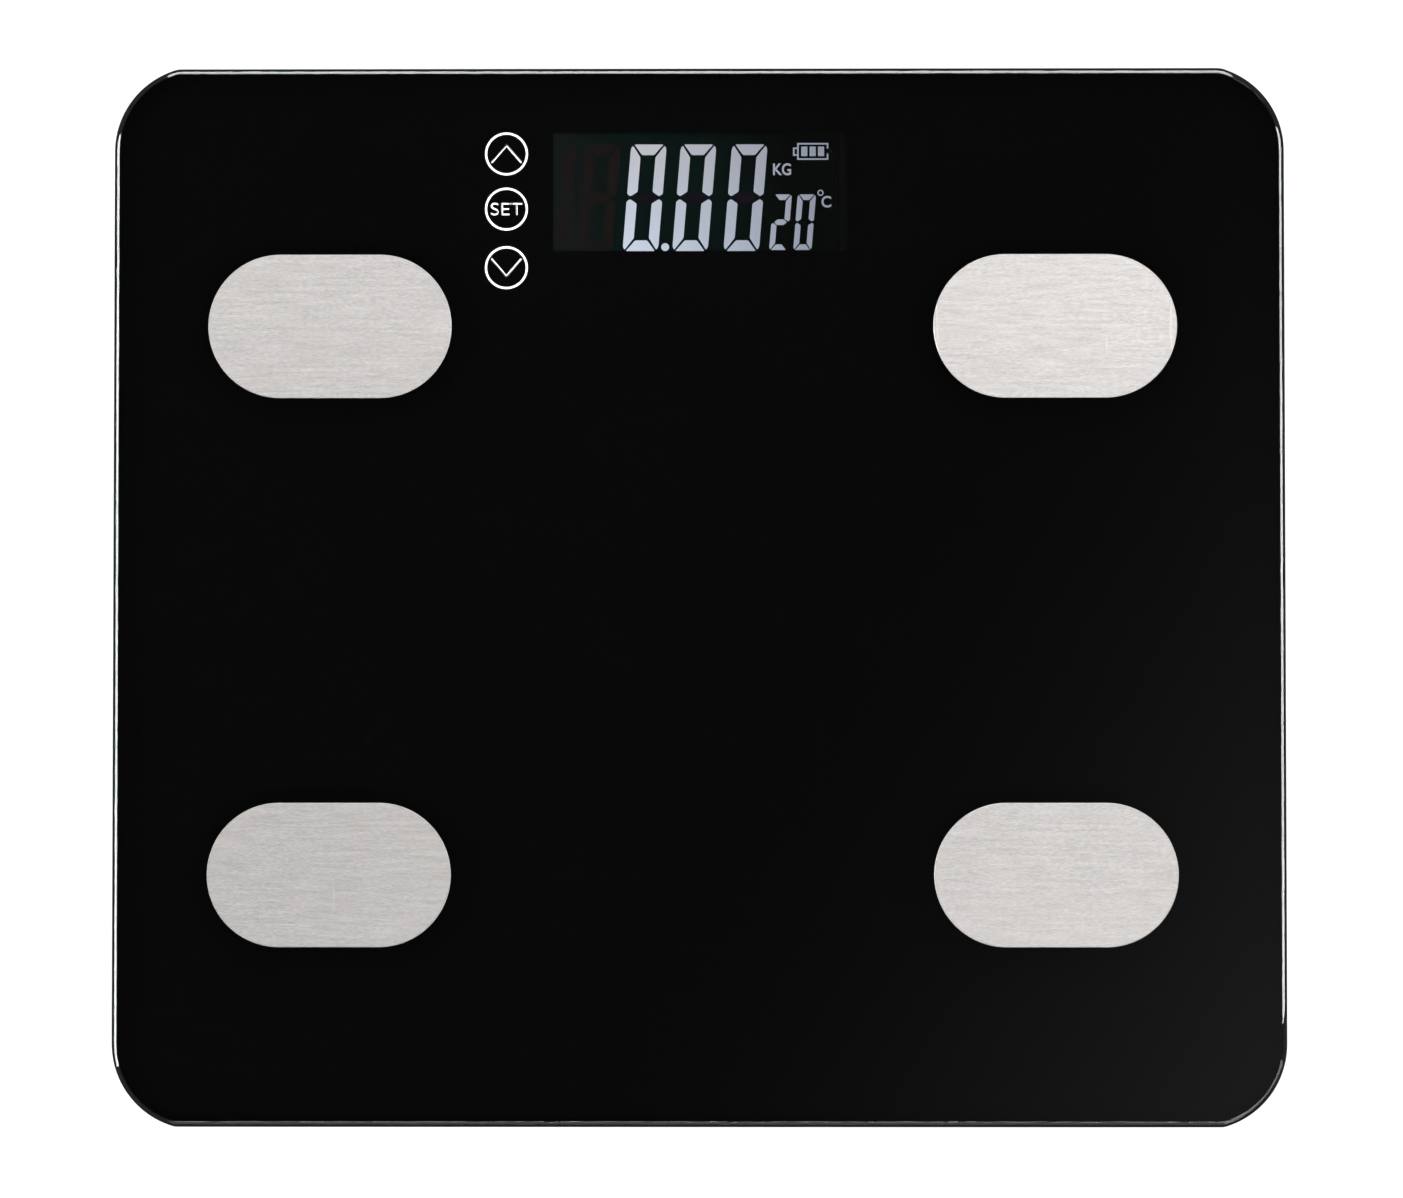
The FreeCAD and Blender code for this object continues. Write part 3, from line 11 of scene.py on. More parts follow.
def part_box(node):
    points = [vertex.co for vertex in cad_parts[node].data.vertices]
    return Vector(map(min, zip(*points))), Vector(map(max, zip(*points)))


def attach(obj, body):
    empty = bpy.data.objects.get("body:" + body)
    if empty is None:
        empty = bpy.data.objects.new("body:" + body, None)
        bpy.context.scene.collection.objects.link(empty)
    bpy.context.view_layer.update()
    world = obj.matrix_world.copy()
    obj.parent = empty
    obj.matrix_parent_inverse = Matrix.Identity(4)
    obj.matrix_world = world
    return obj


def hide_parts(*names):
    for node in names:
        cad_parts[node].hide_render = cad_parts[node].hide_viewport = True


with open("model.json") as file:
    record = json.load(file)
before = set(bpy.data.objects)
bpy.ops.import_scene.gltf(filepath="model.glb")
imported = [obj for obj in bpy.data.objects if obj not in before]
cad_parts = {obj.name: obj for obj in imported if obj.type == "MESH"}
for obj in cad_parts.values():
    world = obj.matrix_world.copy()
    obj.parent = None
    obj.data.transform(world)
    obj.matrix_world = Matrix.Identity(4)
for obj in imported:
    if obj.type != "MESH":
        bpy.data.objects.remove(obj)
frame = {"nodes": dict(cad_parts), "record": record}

MM = 0.001
PLATFORM = "platform"
NOISE_LOW, NOISE_HIGH = 0.3, 0.7  # nearly all of a noise lies between these
nodes = frame["nodes"]
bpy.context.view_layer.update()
scene = bpy.context.scene


# ---- materials -------------------------------------------------------------------------------------

class Finish:
    """A Principled material, with short calls for the nodes that vary it over the surface."""

    def __init__(self, name, colour, roughness=0.5, **sockets):
        self.material = bpy.data.materials.new(name)
        self.material.use_nodes = True
        self.tree = self.material.node_tree
        self.shader = self.tree.nodes["Principled BSDF"]
        self.shader.inputs["Base Color"].default_value = (*colour, 1.0)
        self.shader.inputs["Roughness"].default_value = roughness
        for socket, number in sockets.items():
            self.shader.inputs[socket.replace("_", " ")].default_value = number
        self.place = self.node("ShaderNodeTexCoord").outputs["Object"]

    def node(self, kind, **settings):
        made = self.tree.nodes.new(kind)
        for key, setting in settings.items():
            setattr(made, key, setting)
        return made

    def join(self, source, target):
        self.tree.links.new(source, target)

    def stretched(self, scale):
        """The surface's own coordinates, multiplied along each axis."""
        made = self.node("ShaderNodeVectorMath", operation="MULTIPLY")
        made.inputs[1].default_value = scale
        self.join(self.place, made.inputs[0])
        return made.outputs["Vector"]

    def noise(self, size, detail=4.0, roughness=0.55, stretch=(1, 1, 1), distortion=0.0):
        """Noise whose largest feature is about this size, stretched by a factor along each axis."""
        made = self.node("ShaderNodeTexNoise")
        made.inputs["Scale"].default_value = 1.0
        made.inputs["Detail"].default_value = detail
        made.inputs["Roughness"].default_value = roughness
        made.inputs["Distortion"].default_value = distortion
        self.join(self.stretched([1 / (size * s) for s in stretch]), made.inputs["Vector"])
        return made.outputs["Fac"]

    def cells(self, size):
        made = self.node("ShaderNodeTexVoronoi")
        made.inputs["Scale"].default_value = 1.0
        self.join(self.stretched([1 / size] * 3), made.inputs["Vector"])
        return made.outputs["Distance"]

    def along(self, axis, start, stop):
        """0 to 1 across the object from start to stop along an axis."""
        parts = self.node("ShaderNodeSeparateXYZ")
        self.join(self.place, parts.inputs[0])
        return self.ranged(parts.outputs[axis], start, stop, 0.0, 1.0)

    def ranged(self, source, low, high, to_low, to_high):
        made = self.node("ShaderNodeMapRange")
        for name, number in (("From Min", low), ("From Max", high),
                             ("To Min", to_low), ("To Max", to_high)):
            made.inputs[name].default_value = number
        self.join(source, made.inputs["Value"])
        return made.outputs["Result"]

    def mix(self, factor, first, second):
        """A colour between two, each a colour or another socket."""
        made = self.node("ShaderNodeMix", data_type="RGBA")
        self.join(factor, made.inputs["Factor"])
        for socket, colour in ((made.inputs["A"], first), (made.inputs["B"], second)):
            if isinstance(colour, tuple):
                socket.default_value = (*colour, 1.0)
            else:
                self.join(colour, socket)
        return made.outputs["Result"]

    def shade(self, colour, factor, low, high):
        """A colour made darker or lighter as the factor goes from 0 to 1."""
        made = self.node("ShaderNodeVectorMath", operation="SCALE")
        self.join(colour, made.inputs[0])
        self.join(self.ranged(factor, 0.0, 1.0, low, high), made.inputs["Scale"])
        return made.outputs["Vector"]

    def colour(self, source):
        self.join(source, self.shader.inputs["Base Color"])

    def rough(self, source, low, high):
        """Roughness that follows a noise."""
        self.join(self.ranged(source, NOISE_LOW, NOISE_HIGH, low, high), self.shader.inputs["Roughness"])

    def bump(self, source, depth):
        made = self.node("ShaderNodeBump")
        made.inputs["Distance"].default_value = depth
        made.inputs["Strength"].default_value = 1.0
        self.join(source, made.inputs["Height"])
        self.join(made.outputs["Normal"], self.shader.inputs["Normal"])


def moulded(name, colour, roughness=0.5, grain=0.45 * MM, depth=0.02 * MM, specular=0.5):
    """Moulded plastic with a fine spark-eroded texture, faint flow marks and rubbed patches."""
    finish = Finish(name, colour, roughness, Specular_IOR_Level=specular)
    flow = finish.noise(35 * MM, detail=3.0)
    lighter = tuple(min(1.0, c * 1.35) for c in colour)
    darker = tuple(c * 0.85 for c in colour)
    finish.colour(finish.mix(flow, darker, lighter))
    finish.rough(finish.noise(9 * MM), roughness - 0.06, roughness + 0.08)
    finish.bump(finish.noise(grain, detail=2.0, roughness=0.7), depth)
    return finish


def rubber(name, colour, depth=0.03 * MM):
    """Soft rubber, slightly dusty, with a fine grain."""
    finish = Finish(name, colour, 0.8)
    dust = finish.noise(6 * MM, detail=6.0, roughness=0.7)
    dusty = tuple(c * 1.6 + 0.02 for c in colour)
    finish.colour(finish.mix(finish.ranged(dust, 0.45, 0.75, 0.0, 1.0), colour, dusty))
    finish.rough(dust, 0.72, 0.9)
    finish.bump(finish.noise(0.5 * MM, detail=3.0), depth)
    return finish


def metal(name, colour, roughness, grain=3 * MM):
    """Plated or drawn metal with faint stains and fine scratches."""
    finish = Finish(name, colour, roughness, Metallic=1.0)
    stain = finish.noise(grain, detail=5.0)
    finish.colour(finish.mix(stain, tuple(c * 0.82 for c in colour), colour))
    finish.rough(stain, roughness - 0.05, roughness + 0.12)
    finish.bump(finish.noise(0.4 * MM, stretch=(6, 1, 1)), 0.004 * MM)
    return finish


def clear_glass():
    """Tempered glass with a faint green body and a slow roller wave. Lamps shine through it."""
    finish = Finish("platform_glass", (0.96, 0.985, 0.975), 0.0, IOR=1.52)
    finish.shader.inputs["Transmission Weight"].default_value = 1.0
    finish.bump(finish.noise(90 * MM, detail=1.0), 0.004 * MM)
    let_lamps_through(finish, (0.93, 0.96, 0.95))
    return finish


def let_lamps_through(finish, tint):
    """Rays from lamps pass straight through, so that they light what is behind the glass."""
    path = finish.node("ShaderNodeLightPath")
    clear = finish.node("ShaderNodeBsdfTransparent")
    clear.inputs["Color"].default_value = (*tint, 1.0)
    both = finish.node("ShaderNodeMixShader")
    output = finish.tree.nodes["Material Output"]
    finish.join(path.outputs["Is Shadow Ray"], both.inputs[0])
    finish.join(finish.shader.outputs[0], both.inputs[1])
    finish.join(clear.outputs[0], both.inputs[2])
    finish.join(both.outputs[0], output.inputs["Surface"])


def ground_glass():
    """The satin side of the glass, ground round and dark with the ink that shows through it."""
    finish = Finish("ground_edge", (0.008, 0.011, 0.010), 0.3)
    grit = finish.noise(0.3 * MM, detail=5.0, roughness=0.7)
    finish.colour(finish.mix(grit, (0.005, 0.008, 0.007), (0.011, 0.015, 0.014)))
    finish.rough(grit, 0.22, 0.34)
    finish.bump(grit, 0.003 * MM)
    finish.shader.inputs["Specular IOR Level"].default_value = 0.0
    return finish


def black_ink():
    """Ink fired onto the back of the glass, with no air between, so it has no gloss of its own."""
    finish = Finish("black_ink", (0.0015, 0.0015, 0.0016), 0.6)
    finish.shader.inputs["Specular IOR Level"].default_value = 0.0
    screen = finish.noise(0.8 * MM, detail=3.0)
    finish.colour(finish.mix(screen, (0.0007, 0.0007, 0.0007), (0.0012, 0.0012, 0.0012)))
    finish.rough(screen, 0.5, 0.7)
    return finish


def white_ink():
    finish = Finish("white_ink", (0.92, 0.93, 0.94), 0.6)
    finish.shader.inputs["Specular IOR Level"].default_value = 0.0
    screen = finish.noise(0.5 * MM, detail=3.0)
    finish.colour(finish.mix(screen, (0.86, 0.87, 0.88), (0.96, 0.96, 0.97)))
    # Painted glow: the printed ink gives off a little light of its own, though it is no lamp, so that it
    # reads bright white under the glass.
    finish.shader.inputs["Emission Color"].default_value = (1.0, 1.0, 1.0, 1.0)
    finish.shader.inputs["Emission Strength"].default_value = 0.25
    return finish


def brushed_steel():
    """Stainless steel brushed along X: short fine lines in colour, roughness and relief, and a few
    hairline scratches that cross them. Their colour is painted lighter towards the rear and the
    right: painted light that stands in for how the lamps fall on the plates."""
    plate_x, plate_y = 100 * MM, 75 * MM
    finish = Finish("electrode_steel", (0.82, 0.79, 0.77), 0.42, Metallic=0.7)
    fine = finish.noise(0.25 * MM, detail=1.5, roughness=0.9, stretch=(6, 1, 1))
    broad = finish.noise(0.9 * MM, detail=4.0, roughness=0.8, stretch=(12, 1, 1))
    lines = finish.mix(finish.ranged(fine, 0.34, 0.66, 0.0, 1.0),
                       (0.68, 0.655, 0.645), (0.96, 0.932, 0.918))
    bands = finish.mix(finish.ranged(broad, NOISE_LOW, NOISE_HIGH, 0.0, 1.0),
                       (0.775, 0.743, 0.724), (0.855, 0.822, 0.803))
    patches = finish.ranged(finish.noise(20 * MM, detail=2.0), NOISE_LOW, NOISE_HIGH, 0.15, 0.5)
    grain = finish.mix(patches, lines, bands)
    crossing = finish.noise(1.1 * MM, detail=1.0, stretch=(1, 26, 1), distortion=0.6)
    scratches = finish.ranged(crossing, 0.735, 0.765, 0.0, 0.7)
    marked = finish.mix(scratches, grain, (0.98, 0.955, 0.935))
    # Painted light: the colour grows lighter towards the rear (along Y) and towards the right (along X),
    # standing in for how the lamps fall on the plates.
    painted_light_towards_rear = finish.shade(marked, finish.along("Y", -plate_y, plate_y), 0.63, 0.79)
    finish.colour(finish.shade(painted_light_towards_rear, finish.along("X", -plate_x, plate_x), 1.0, 1.14))
    finish.rough(broad, 0.38, 0.48)
    finish.bump(fine, 0.0012 * MM)
    return finish


def display_glass():
    """The unlit liquid crystal: near black, greenish in the middle and a little lighter at its left."""
    finish = Finish("display_glass", (0.004, 0.006, 0.005), 0.3)
    cloud = finish.noise(30 * MM, detail=2.0)
    left = finish.mix(cloud, (0.0026, 0.0032, 0.0034), (0.0040, 0.0046, 0.0048))
    middle = finish.mix(cloud, (0.0003, 0.0024, 0.0020), (0.0007, 0.0029, 0.0024))
    near = finish.mix(finish.along("X", -40 * MM, -22 * MM), left, middle)
    finish.colour(finish.mix(finish.along("X", 0, 24 * MM), near, (0.0003, 0.0005, 0.0004)))
    finish.shader.inputs["Specular IOR Level"].default_value = 0.03
    return finish


def lit(name, bottom, top, right=None):
    """Light from the display, with its colours at the bottom and top. right is the colour that both
    turn to at the right end."""
    digits_x, digits_y = (-18 * MM, 32 * MM), (92 * MM, 120 * MM)
    finish = Finish(name, (0.0004, 0.0004, 0.0004), 0.6)
    glow = finish.mix(finish.along("Y", *digits_y), bottom, top)
    if right:
        glow = finish.mix(finish.along("X", *digits_x), glow, right)
    finish.join(glow, finish.shader.inputs["Emission Color"])
    finish.shader.inputs["Emission Strength"].default_value = 1.0
    finish.shader.inputs["Specular IOR Level"].default_value = 0.03
    return finish


def circuit_board():
    """Green solder mask with faint tracks under it."""
    pitch = 2.2 * MM
    finish = Finish("board_green", (0.02, 0.14, 0.06), 0.28)
    tracks = finish.node("ShaderNodeTexBrick")
    tracks.inputs["Scale"].default_value = 1.0
    tracks.inputs["Mortar Size"].default_value = 0.09
    tracks.inputs["Brick Width"].default_value = 2.6
    tracks.inputs["Row Height"].default_value = 0.9
    finish.join(finish.stretched([1 / pitch] * 3), tracks.inputs["Vector"])
    finish.colour(finish.mix(tracks.outputs["Fac"], (0.012, 0.10, 0.045), (0.035, 0.20, 0.09)))
    finish.bump(tracks.outputs["Fac"], 0.02 * MM)
    return finish


def cell_wrap():
    """A battery's sleeve: dark green, with a gold band at one end of the bay and an uneven gloss."""
    half_bay = 25 * MM
    band_start = 0.72
    finish = Finish("cell_wrap", (0.02, 0.05, 0.035), 0.25)
    across = finish.along("X", -half_bay, half_bay)
    band = finish.node("ShaderNodeMath", operation="GREATER_THAN")
    band.inputs[1].default_value = band_start
    finish.join(across, band.inputs[0])
    print_grain = finish.noise(2 * MM)
    body = finish.mix(print_grain, (0.012, 0.035, 0.024), (0.02, 0.055, 0.038))
    finish.colour(finish.mix(band.outputs[0], body, (0.55, 0.36, 0.10)))
    finish.rough(print_grain, 0.2, 0.32)
    return finish


def foam(name, colour, size=0.5 * MM, specular=0.3):
    finish = Finish(name, colour, 0.9, Specular_IOR_Level=specular)
    pore_pits_and_shade = finish.cells(size)
    # Each pore is sunk by the bump and painted darker at its middle: painted shade for the hollow.
    finish.colour(finish.mix(pore_pits_and_shade, tuple(c * 0.6 for c in colour), colour))
    finish.bump(pore_pits_and_shade, 0.08 * MM)
    return finish


def acrylic(name, colour, transmission):
    finish = Finish(name, colour, 0.12, IOR=1.49)
    finish.shader.inputs["Transmission Weight"].default_value = transmission
    finish.rough(finish.noise(4 * MM), 0.08, 0.18)
    return finish


FINISHES = {
    "platform_glass": clear_glass(),
    "ground_edge": ground_glass(),
    "black_ink": black_ink(),
    "white_ink": white_ink(),
    "electrode_steel": brushed_steel(),
    "adhesive_film": acrylic("adhesive_film", (0.75, 0.75, 0.72), 0.3),
    "foam_tape": foam("foam_tape", (0.75, 0.75, 0.73)),
    "nickel_plate": metal("nickel_plate", (0.72, 0.69, 0.63), 0.22),
    "tray_plastic": moulded("tray_plastic", (0.018, 0.019, 0.021), 0.5, specular=0.35),
    "door_plastic": moulded("door_plastic", (0.022, 0.023, 0.025), 0.46, specular=0.35),
    "cell_steel": metal("cell_steel", (0.62, 0.62, 0.61), 0.3),
    "gauge_silicone": rubber("gauge_silicone", (0.82, 0.82, 0.80)),
    "ring_plastic": moulded("ring_plastic", (0.10, 0.10, 0.105), 0.42),
    "foot_plastic": moulded("foot_plastic", (0.17, 0.17, 0.18), 0.48),
    "pad_rubber": rubber("pad_rubber", (0.028, 0.028, 0.029)),
    "board_green": circuit_board(),
    "screw_steel": metal("screw_steel", (0.58, 0.58, 0.56), 0.28, grain=1 * MM),
    "chip_resin": moulded("chip_resin", (0.008, 0.008, 0.008), 0.2, depth=0.004 * MM),
    "chip_parts": moulded("chip_parts", (0.34, 0.27, 0.19), 0.4),
    "switch_plastic": moulded("switch_plastic", (0.02, 0.02, 0.02), 0.3),
    "header_plastic": moulded("header_plastic", (0.76, 0.74, 0.66), 0.4),
    "display_glass": display_glass(),
    "frame_plastic": moulded("frame_plastic", (0.0012, 0.0012, 0.0012), 0.7, specular=0.0),
    "gasket_foam": foam("gasket_foam", (0.0012, 0.0012, 0.0012), specular=0.0),
    "guide_acrylic": acrylic("guide_acrylic", (0.92, 0.96, 0.96), 0.8),
    "reflector_film": moulded("reflector_film", (0.88, 0.88, 0.88), 0.3, depth=0.002 * MM),
    "lamp_resin": acrylic("lamp_resin", (0.95, 0.90, 0.55), 0.2),
    "pillar_foam": foam("pillar_foam", (0.05, 0.05, 0.055)),
    "spring_steel": metal("spring_steel", (0.70, 0.69, 0.66), 0.24),
    "cell_wrap": cell_wrap(),
    "button_plastic": moulded("button_plastic", (0.36, 0.36, 0.37), 0.4),
    "sleeve_grey": moulded("sleeve_grey", (0.22, 0.22, 0.23), 0.45),
    "lead_white": moulded("lead_white", (0.76, 0.76, 0.74), 0.4),
    "lead_red": moulded("lead_red", (0.48, 0.025, 0.02), 0.35),
    "lead_black": moulded("lead_black", (0.015, 0.015, 0.015), 0.35),
    "display_digits": lit("display_digits", (0.66, 0.72, 0.86), (0.58, 0.57, 0.62), (0.30, 0.32, 0.40)),
    "display_ghosts": lit("display_ghosts", (0.0050, 0.0026, 0.0021), (0.0072, 0.0028, 0.0023)),
    "display_shades": lit("display_shades", (0.0026, 0.0004, 0.0050), (0.0026, 0.0004, 0.0050)),
}


def finish_cad_nodes():
    """Gives every CAD node the finish of its material slot."""
    for subpart in frame["record"]["subparts"]:
        node, slot = subpart["node"], subpart["material_slot"]
        if node == "battery_door":
            slot = "door_plastic"
        mesh = nodes[node].data
        for index in range(len(mesh.materials)):
            mesh.materials[index] = FINISHES[slot].material


# ---- meshes ----------------------------------------------------------------------------------------

def piece(name, mesh, slot, body=PLATFORM, stands_for=(), finishes=None):
    """A mesh that rides on a body, takes its finish from a slot and stands for CAD nodes."""
    made = bpy.data.objects.new(name, mesh)
    scene.collection.objects.link(made)
    for finish in finishes or [slot]:
        mesh.materials.append(FINISHES[finish].material)
    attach(made, body)
    if stands_for:
        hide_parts(*stands_for)


def mesh_of(name, build):
    """A mesh that a function builds in a bmesh, with its faces turned outwards."""
    work = bmesh.new()
    build(work)
    bmesh.ops.recalc_face_normals(work, faces=work.faces)
    mesh = bpy.data.meshes.new(name)
    work.to_mesh(mesh)
    work.free()
    return mesh


def prism(work, outline, base, top):
    """A closed slab through a flat outline of (x, y) points."""
    low = [work.verts.new((x, y, base)) for x, y in outline]
    high = [work.verts.new((x, y, top)) for x, y in outline]
    work.faces.new(low[::-1])
    work.faces.new(high)
    for k in range(len(outline)):
        after = (k + 1) % len(outline)
        work.faces.new((low[k], low[after], high[after], high[k]))


def ring(work, centre, outer, inner, base, top, steps=72):
    """A flat closed ring."""
    loops = []
    for radius, level in ((outer, base), (outer, top), (inner, top), (inner, base)):
        loops.append([work.verts.new((centre[0] + radius * math.cos(math.tau * k / steps),
                                      centre[1] + radius * math.sin(math.tau * k / steps), level))
                      for k in range(steps)])
    for first, second in zip(loops, loops[1:] + loops[:1]):
        for k in range(steps):
            after = (k + 1) % steps
            work.faces.new((first[k], first[after], second[after], second[k]))


def softened(outline, radius, steps=4):
    """An outline with each corner rounded, over less than half of each side that meets there."""
    most = 0.45
    points = [Vector(p) for p in outline]
    result = []
    for before, corner, after in zip(points[-1:] + points[:-1], points, points[1:] + points[:1]):
        back, ahead = before - corner, after - corner
        reach = min(radius, most * back.length, most * ahead.length)
        start = corner + back.normalized() * reach
        stop = corner + ahead.normalized() * reach
        for k in range(steps + 1):
            share = k / steps
            point = (1 - share) ** 2 * start + 2 * share * (1 - share) * corner + share ** 2 * stop
            result.append(tuple(point))
    return result


# ---- glass platform --------------------------------------------------------------------------------

CORNER_RADIUS = 22.7 * MM
CORNER_KINK = math.radians(15)
KINK_RADIUS = 4 * MM
CORNER_STEPS = 22
KINK_STEPS = 5


def glass_outline(low, high):
    """The platform's outline as (point, outward normal) pairs. Each corner's arc meets the front or rear
    line at a slight angle, which a small arc rounds off."""
    half_x, half_y = (high.x - low.x) / 2, (high.y - low.y) / 2
    arc = Vector((half_x - CORNER_RADIUS, half_y - CORNER_RADIUS * math.cos(CORNER_KINK)))
    drop = half_y - KINK_RADIUS - arc.y
    reach = CORNER_RADIUS - KINK_RADIUS
    small = Vector((arc.x + math.sqrt(reach ** 2 - drop ** 2), half_y - KINK_RADIUS))
    turn = math.atan2(small.y - arc.y, small.x - arc.x)
    quarter = []
    for k in range(CORNER_STEPS + 1):
        angle = turn * k / CORNER_STEPS
        quarter.append((arc, CORNER_RADIUS, angle))
    for k in range(1, KINK_STEPS + 1):
        angle = turn + (math.pi / 2 - turn) * k / KINK_STEPS
        quarter.append((small, KINK_RADIUS, angle))
    corner = []
    for centre, radius, angle in quarter:
        normal = Vector((math.cos(angle), math.sin(angle)))
        corner.append((centre + normal * radius, normal))
    outline = []
    for sign_x, sign_y, backwards in ((1, 1, False), (-1, 1, True), (-1, -1, False), (1, -1, True)):
        flip = Vector((sign_x, sign_y))
        turned = [(point * flip, normal * flip) for point, normal in corner]
        outline += turned[::-1] if backwards else turned
    return outline


BEVEL_TILT = math.radians(26)
BEVEL_LENGTH = 0.72 * MM
UPPER_ARRIS = 0.6 * MM
SHOULDER = 1.35 * MM
LOWER_ARRIS = 0.4 * MM
UPPER_STEPS, SHOULDER_STEPS, LOWER_STEPS = 5, 9, 6


def edge_arc(inset, depth, radius, start, stop, steps, ground):
    """(inset, depth, ground) along an arc that turns from one tilt to another, outwards and down."""
    places = []
    for k in range(steps + 1):
        angle = start + (stop - start) * k / steps
        out = radius * (math.sin(angle) - math.sin(start))
        down = radius * (math.cos(start) - math.cos(angle))
        places.append((inset - out, depth + down, ground and k > 0))
    return places


def edge_profile(thick):
    """(inset, depth, ground) down the edge of the glass: a rounded arris, a polished bevel, then a
    ground shoulder, side and lower arris."""
    places = edge_arc(0.0, 0.0, UPPER_ARRIS, 0.0, BEVEL_TILT, UPPER_STEPS, False)
    inset = places[-1][0] - BEVEL_LENGTH * math.cos(BEVEL_TILT)
    depth = places[-1][1] + BEVEL_LENGTH * math.sin(BEVEL_TILT)
    places += edge_arc(inset, depth, SHOULDER, BEVEL_TILT, math.pi / 2, SHOULDER_STEPS, True)
    outermost = places[-1][0]
    places = [(inset - outermost, depth, ground) for inset, depth, ground in places]
    for k in range(LOWER_STEPS + 1):
        angle = math.pi / 2 * k / LOWER_STEPS
        places.append((LOWER_ARRIS * (1 - math.cos(angle)),
                       thick - LOWER_ARRIS * (1 - math.sin(angle)), True))
    return places


def glass_slab():
    """The tempered glass. Its underside lies a hair inside the ink, so no air shows between them. A
    narrow flat rim inside each arris keeps the smooth shading of the faces flat."""
    low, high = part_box("glass_platform")
    outline = glass_outline(low, high)
    overlap = 0.02 * MM
    rim = 0.12 * MM
    places = edge_profile(high.z - low.z + overlap)
    first, last = places[0], places[-1]
    places = [(first[0] + rim, first[1], False)] + places + [(last[0] + rim, last[1], False)]

    def build(work):
        loops = []
        for inset, depth, _ in places:
            loops.append([work.verts.new((p.x - n.x * inset, p.y - n.y * inset, high.z - depth))
                          for p, n in outline])
        work.faces.new(loops[0])
        work.faces.new(loops[-1][::-1])
        for upper, lower, (_, _, ground) in zip(loops, loops[1:], places[1:]):
            for k in range(len(outline)):
                after = (k + 1) % len(outline)
                face = work.faces.new((upper[k], upper[after], lower[after], lower[k]))
                face.material_index = int(ground)

    mesh = mesh_of("glass_slab", build)
    mesh.shade_smooth()
    piece("glass_slab", mesh, "platform_glass", stands_for=["glass_platform"],
          finishes=["platform_glass", "ground_edge"])


# ---- keys and display ------------------------------------------------------------------------------

KEY_X = -51.1 * MM
KEYS = {"up": 117.6 * MM, "set": 102.9 * MM, "down": 87.3 * MM}
KEY_RADIUS = 5.7 * MM
INK_LINE = 0.55 * MM
CHEVRON_HALF_WIDTH = 4.0 * MM
CHEVRON_RISES = {"up": 4.6 * MM, "down": -4.7 * MM}
SET_HEIGHT, SET_WIDTH = 3.3 * MM, 8.5 * MM


def letters(text, bold):
    """Flat letters of unit size as a mesh. bold widens their strokes."""
    curve = bpy.data.curves.new(text, "FONT")
    curve.body = text
    curve.offset = bold
    curve.align_x = "CENTER"
    curve.align_y = "CENTER"
    carrier = bpy.data.objects.new(text, curve)
    mesh = bpy.data.meshes.new_from_object(carrier)
    bpy.data.objects.remove(carrier)
    return mesh


def add_letters(work, text, centre, height, width, base, top, bold=0.0):
    """Raised letters that fill a box of this height and width."""
    flat = letters(text, bold)
    xs = [v.co.x for v in flat.vertices]
    ys = [v.co.y for v in flat.vertices]
    scale_x = width / (max(xs) - min(xs))
    scale_y = height / (max(ys) - min(ys))
    middle = Vector(((max(xs) + min(xs)) / 2, (max(ys) + min(ys)) / 2))
    letter = bmesh.new()
    letter.from_mesh(flat)
    for vert in letter.verts:
        vert.co = Vector((centre[0] + (vert.co.x - middle.x) * scale_x,
                          centre[1] + (vert.co.y - middle.y) * scale_y, base))
    raised = bmesh.ops.extrude_face_region(letter, geom=letter.faces[:])
    for item in raised["geom"]:
        if isinstance(item, bmesh.types.BMVert):
            item.co.z = top
    joined = bpy.data.meshes.new(text)
    letter.to_mesh(joined)
    letter.free()
    work.from_mesh(joined)


def chevron(centre, rise):
    """An angle of constant width. rise is positive when its point is at the top."""
    half_rise = abs(rise) / 2
    slope = math.atan2(abs(rise), CHEVRON_HALF_WIDTH)
    side = INK_LINE / 2
    tip = side / math.cos(slope)
    away = Vector((math.sin(slope), math.cos(slope))) * side
    end = Vector((CHEVRON_HALF_WIDTH, -half_rise))
    right = [Vector((0, half_rise + tip)), end + away, end - away, Vector((0, half_rise - tip))]
    left = [Vector((-v.x, v.y)) for v in right[1:3]][::-1]
    sign = 1 if rise > 0 else -1
    return [(centre[0] + v.x, centre[1] + sign * v.y) for v in right + left]


def key_marks():
    """White legends printed behind the glass."""
    low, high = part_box("key_legends")

    def build(work):
        for key, y in KEYS.items():
            centre = (KEY_X, y)
            ring(work, centre, KEY_RADIUS, KEY_RADIUS - INK_LINE, low.z, high.z)
            if key == "set":
                add_letters(work, "SET", centre, SET_HEIGHT, SET_WIDTH, low.z, high.z)
            else:
                prism(work, chevron(centre, CHEVRON_RISES[key]), low.z, high.z)

    piece("key_marks", mesh_of("key_marks", build), "white_ink", stands_for=["key_legends"])


LEAN = math.tan(math.radians(4.7))
SEGMENT_ROUNDING = 0.12  # of a stroke's thickness


def digit_segments(wide, tall, thick):
    """The seven segments of a digit, upright with its lower left corner at the origin. The bevelled
    ends and the gaps between segments are fractions of a stroke's thickness."""
    middle = tall / 2
    top = [(0.30 * thick, tall), (wide - 0.30 * thick, tall), (wide - 1.10 * thick, tall - thick),
           (1.10 * thick, tall - thick)]
    upper = [(0, middle + 0.36 * thick), (0.31 * thick, middle + 0.13 * thick),
             (0.96 * thick, middle + 0.55 * thick), (0.96 * thick, tall - 1.22 * thick),
             (0.20 * thick, tall - 0.14 * thick), (0.08 * thick, tall - 0.24 * thick),
             (0, tall - 0.5 * thick)]
    centre = [(0.50 * thick, middle), (1.05 * thick, middle + 0.5 * thick),
              (wide - 1.05 * thick, middle + 0.5 * thick), (wide - 0.50 * thick, middle),
              (wide - 1.05 * thick, middle - 0.5 * thick), (1.05 * thick, middle - 0.5 * thick)]

    def across(outline):
        return [(wide - x, y) for x, y in outline]

    def down(outline):
        return [(x, tall - y) for x, y in outline]

    return {"a": top, "b": across(upper), "c": across(down(upper)), "d": down(top),
            "e": down(upper), "f": upper, "g": centre}


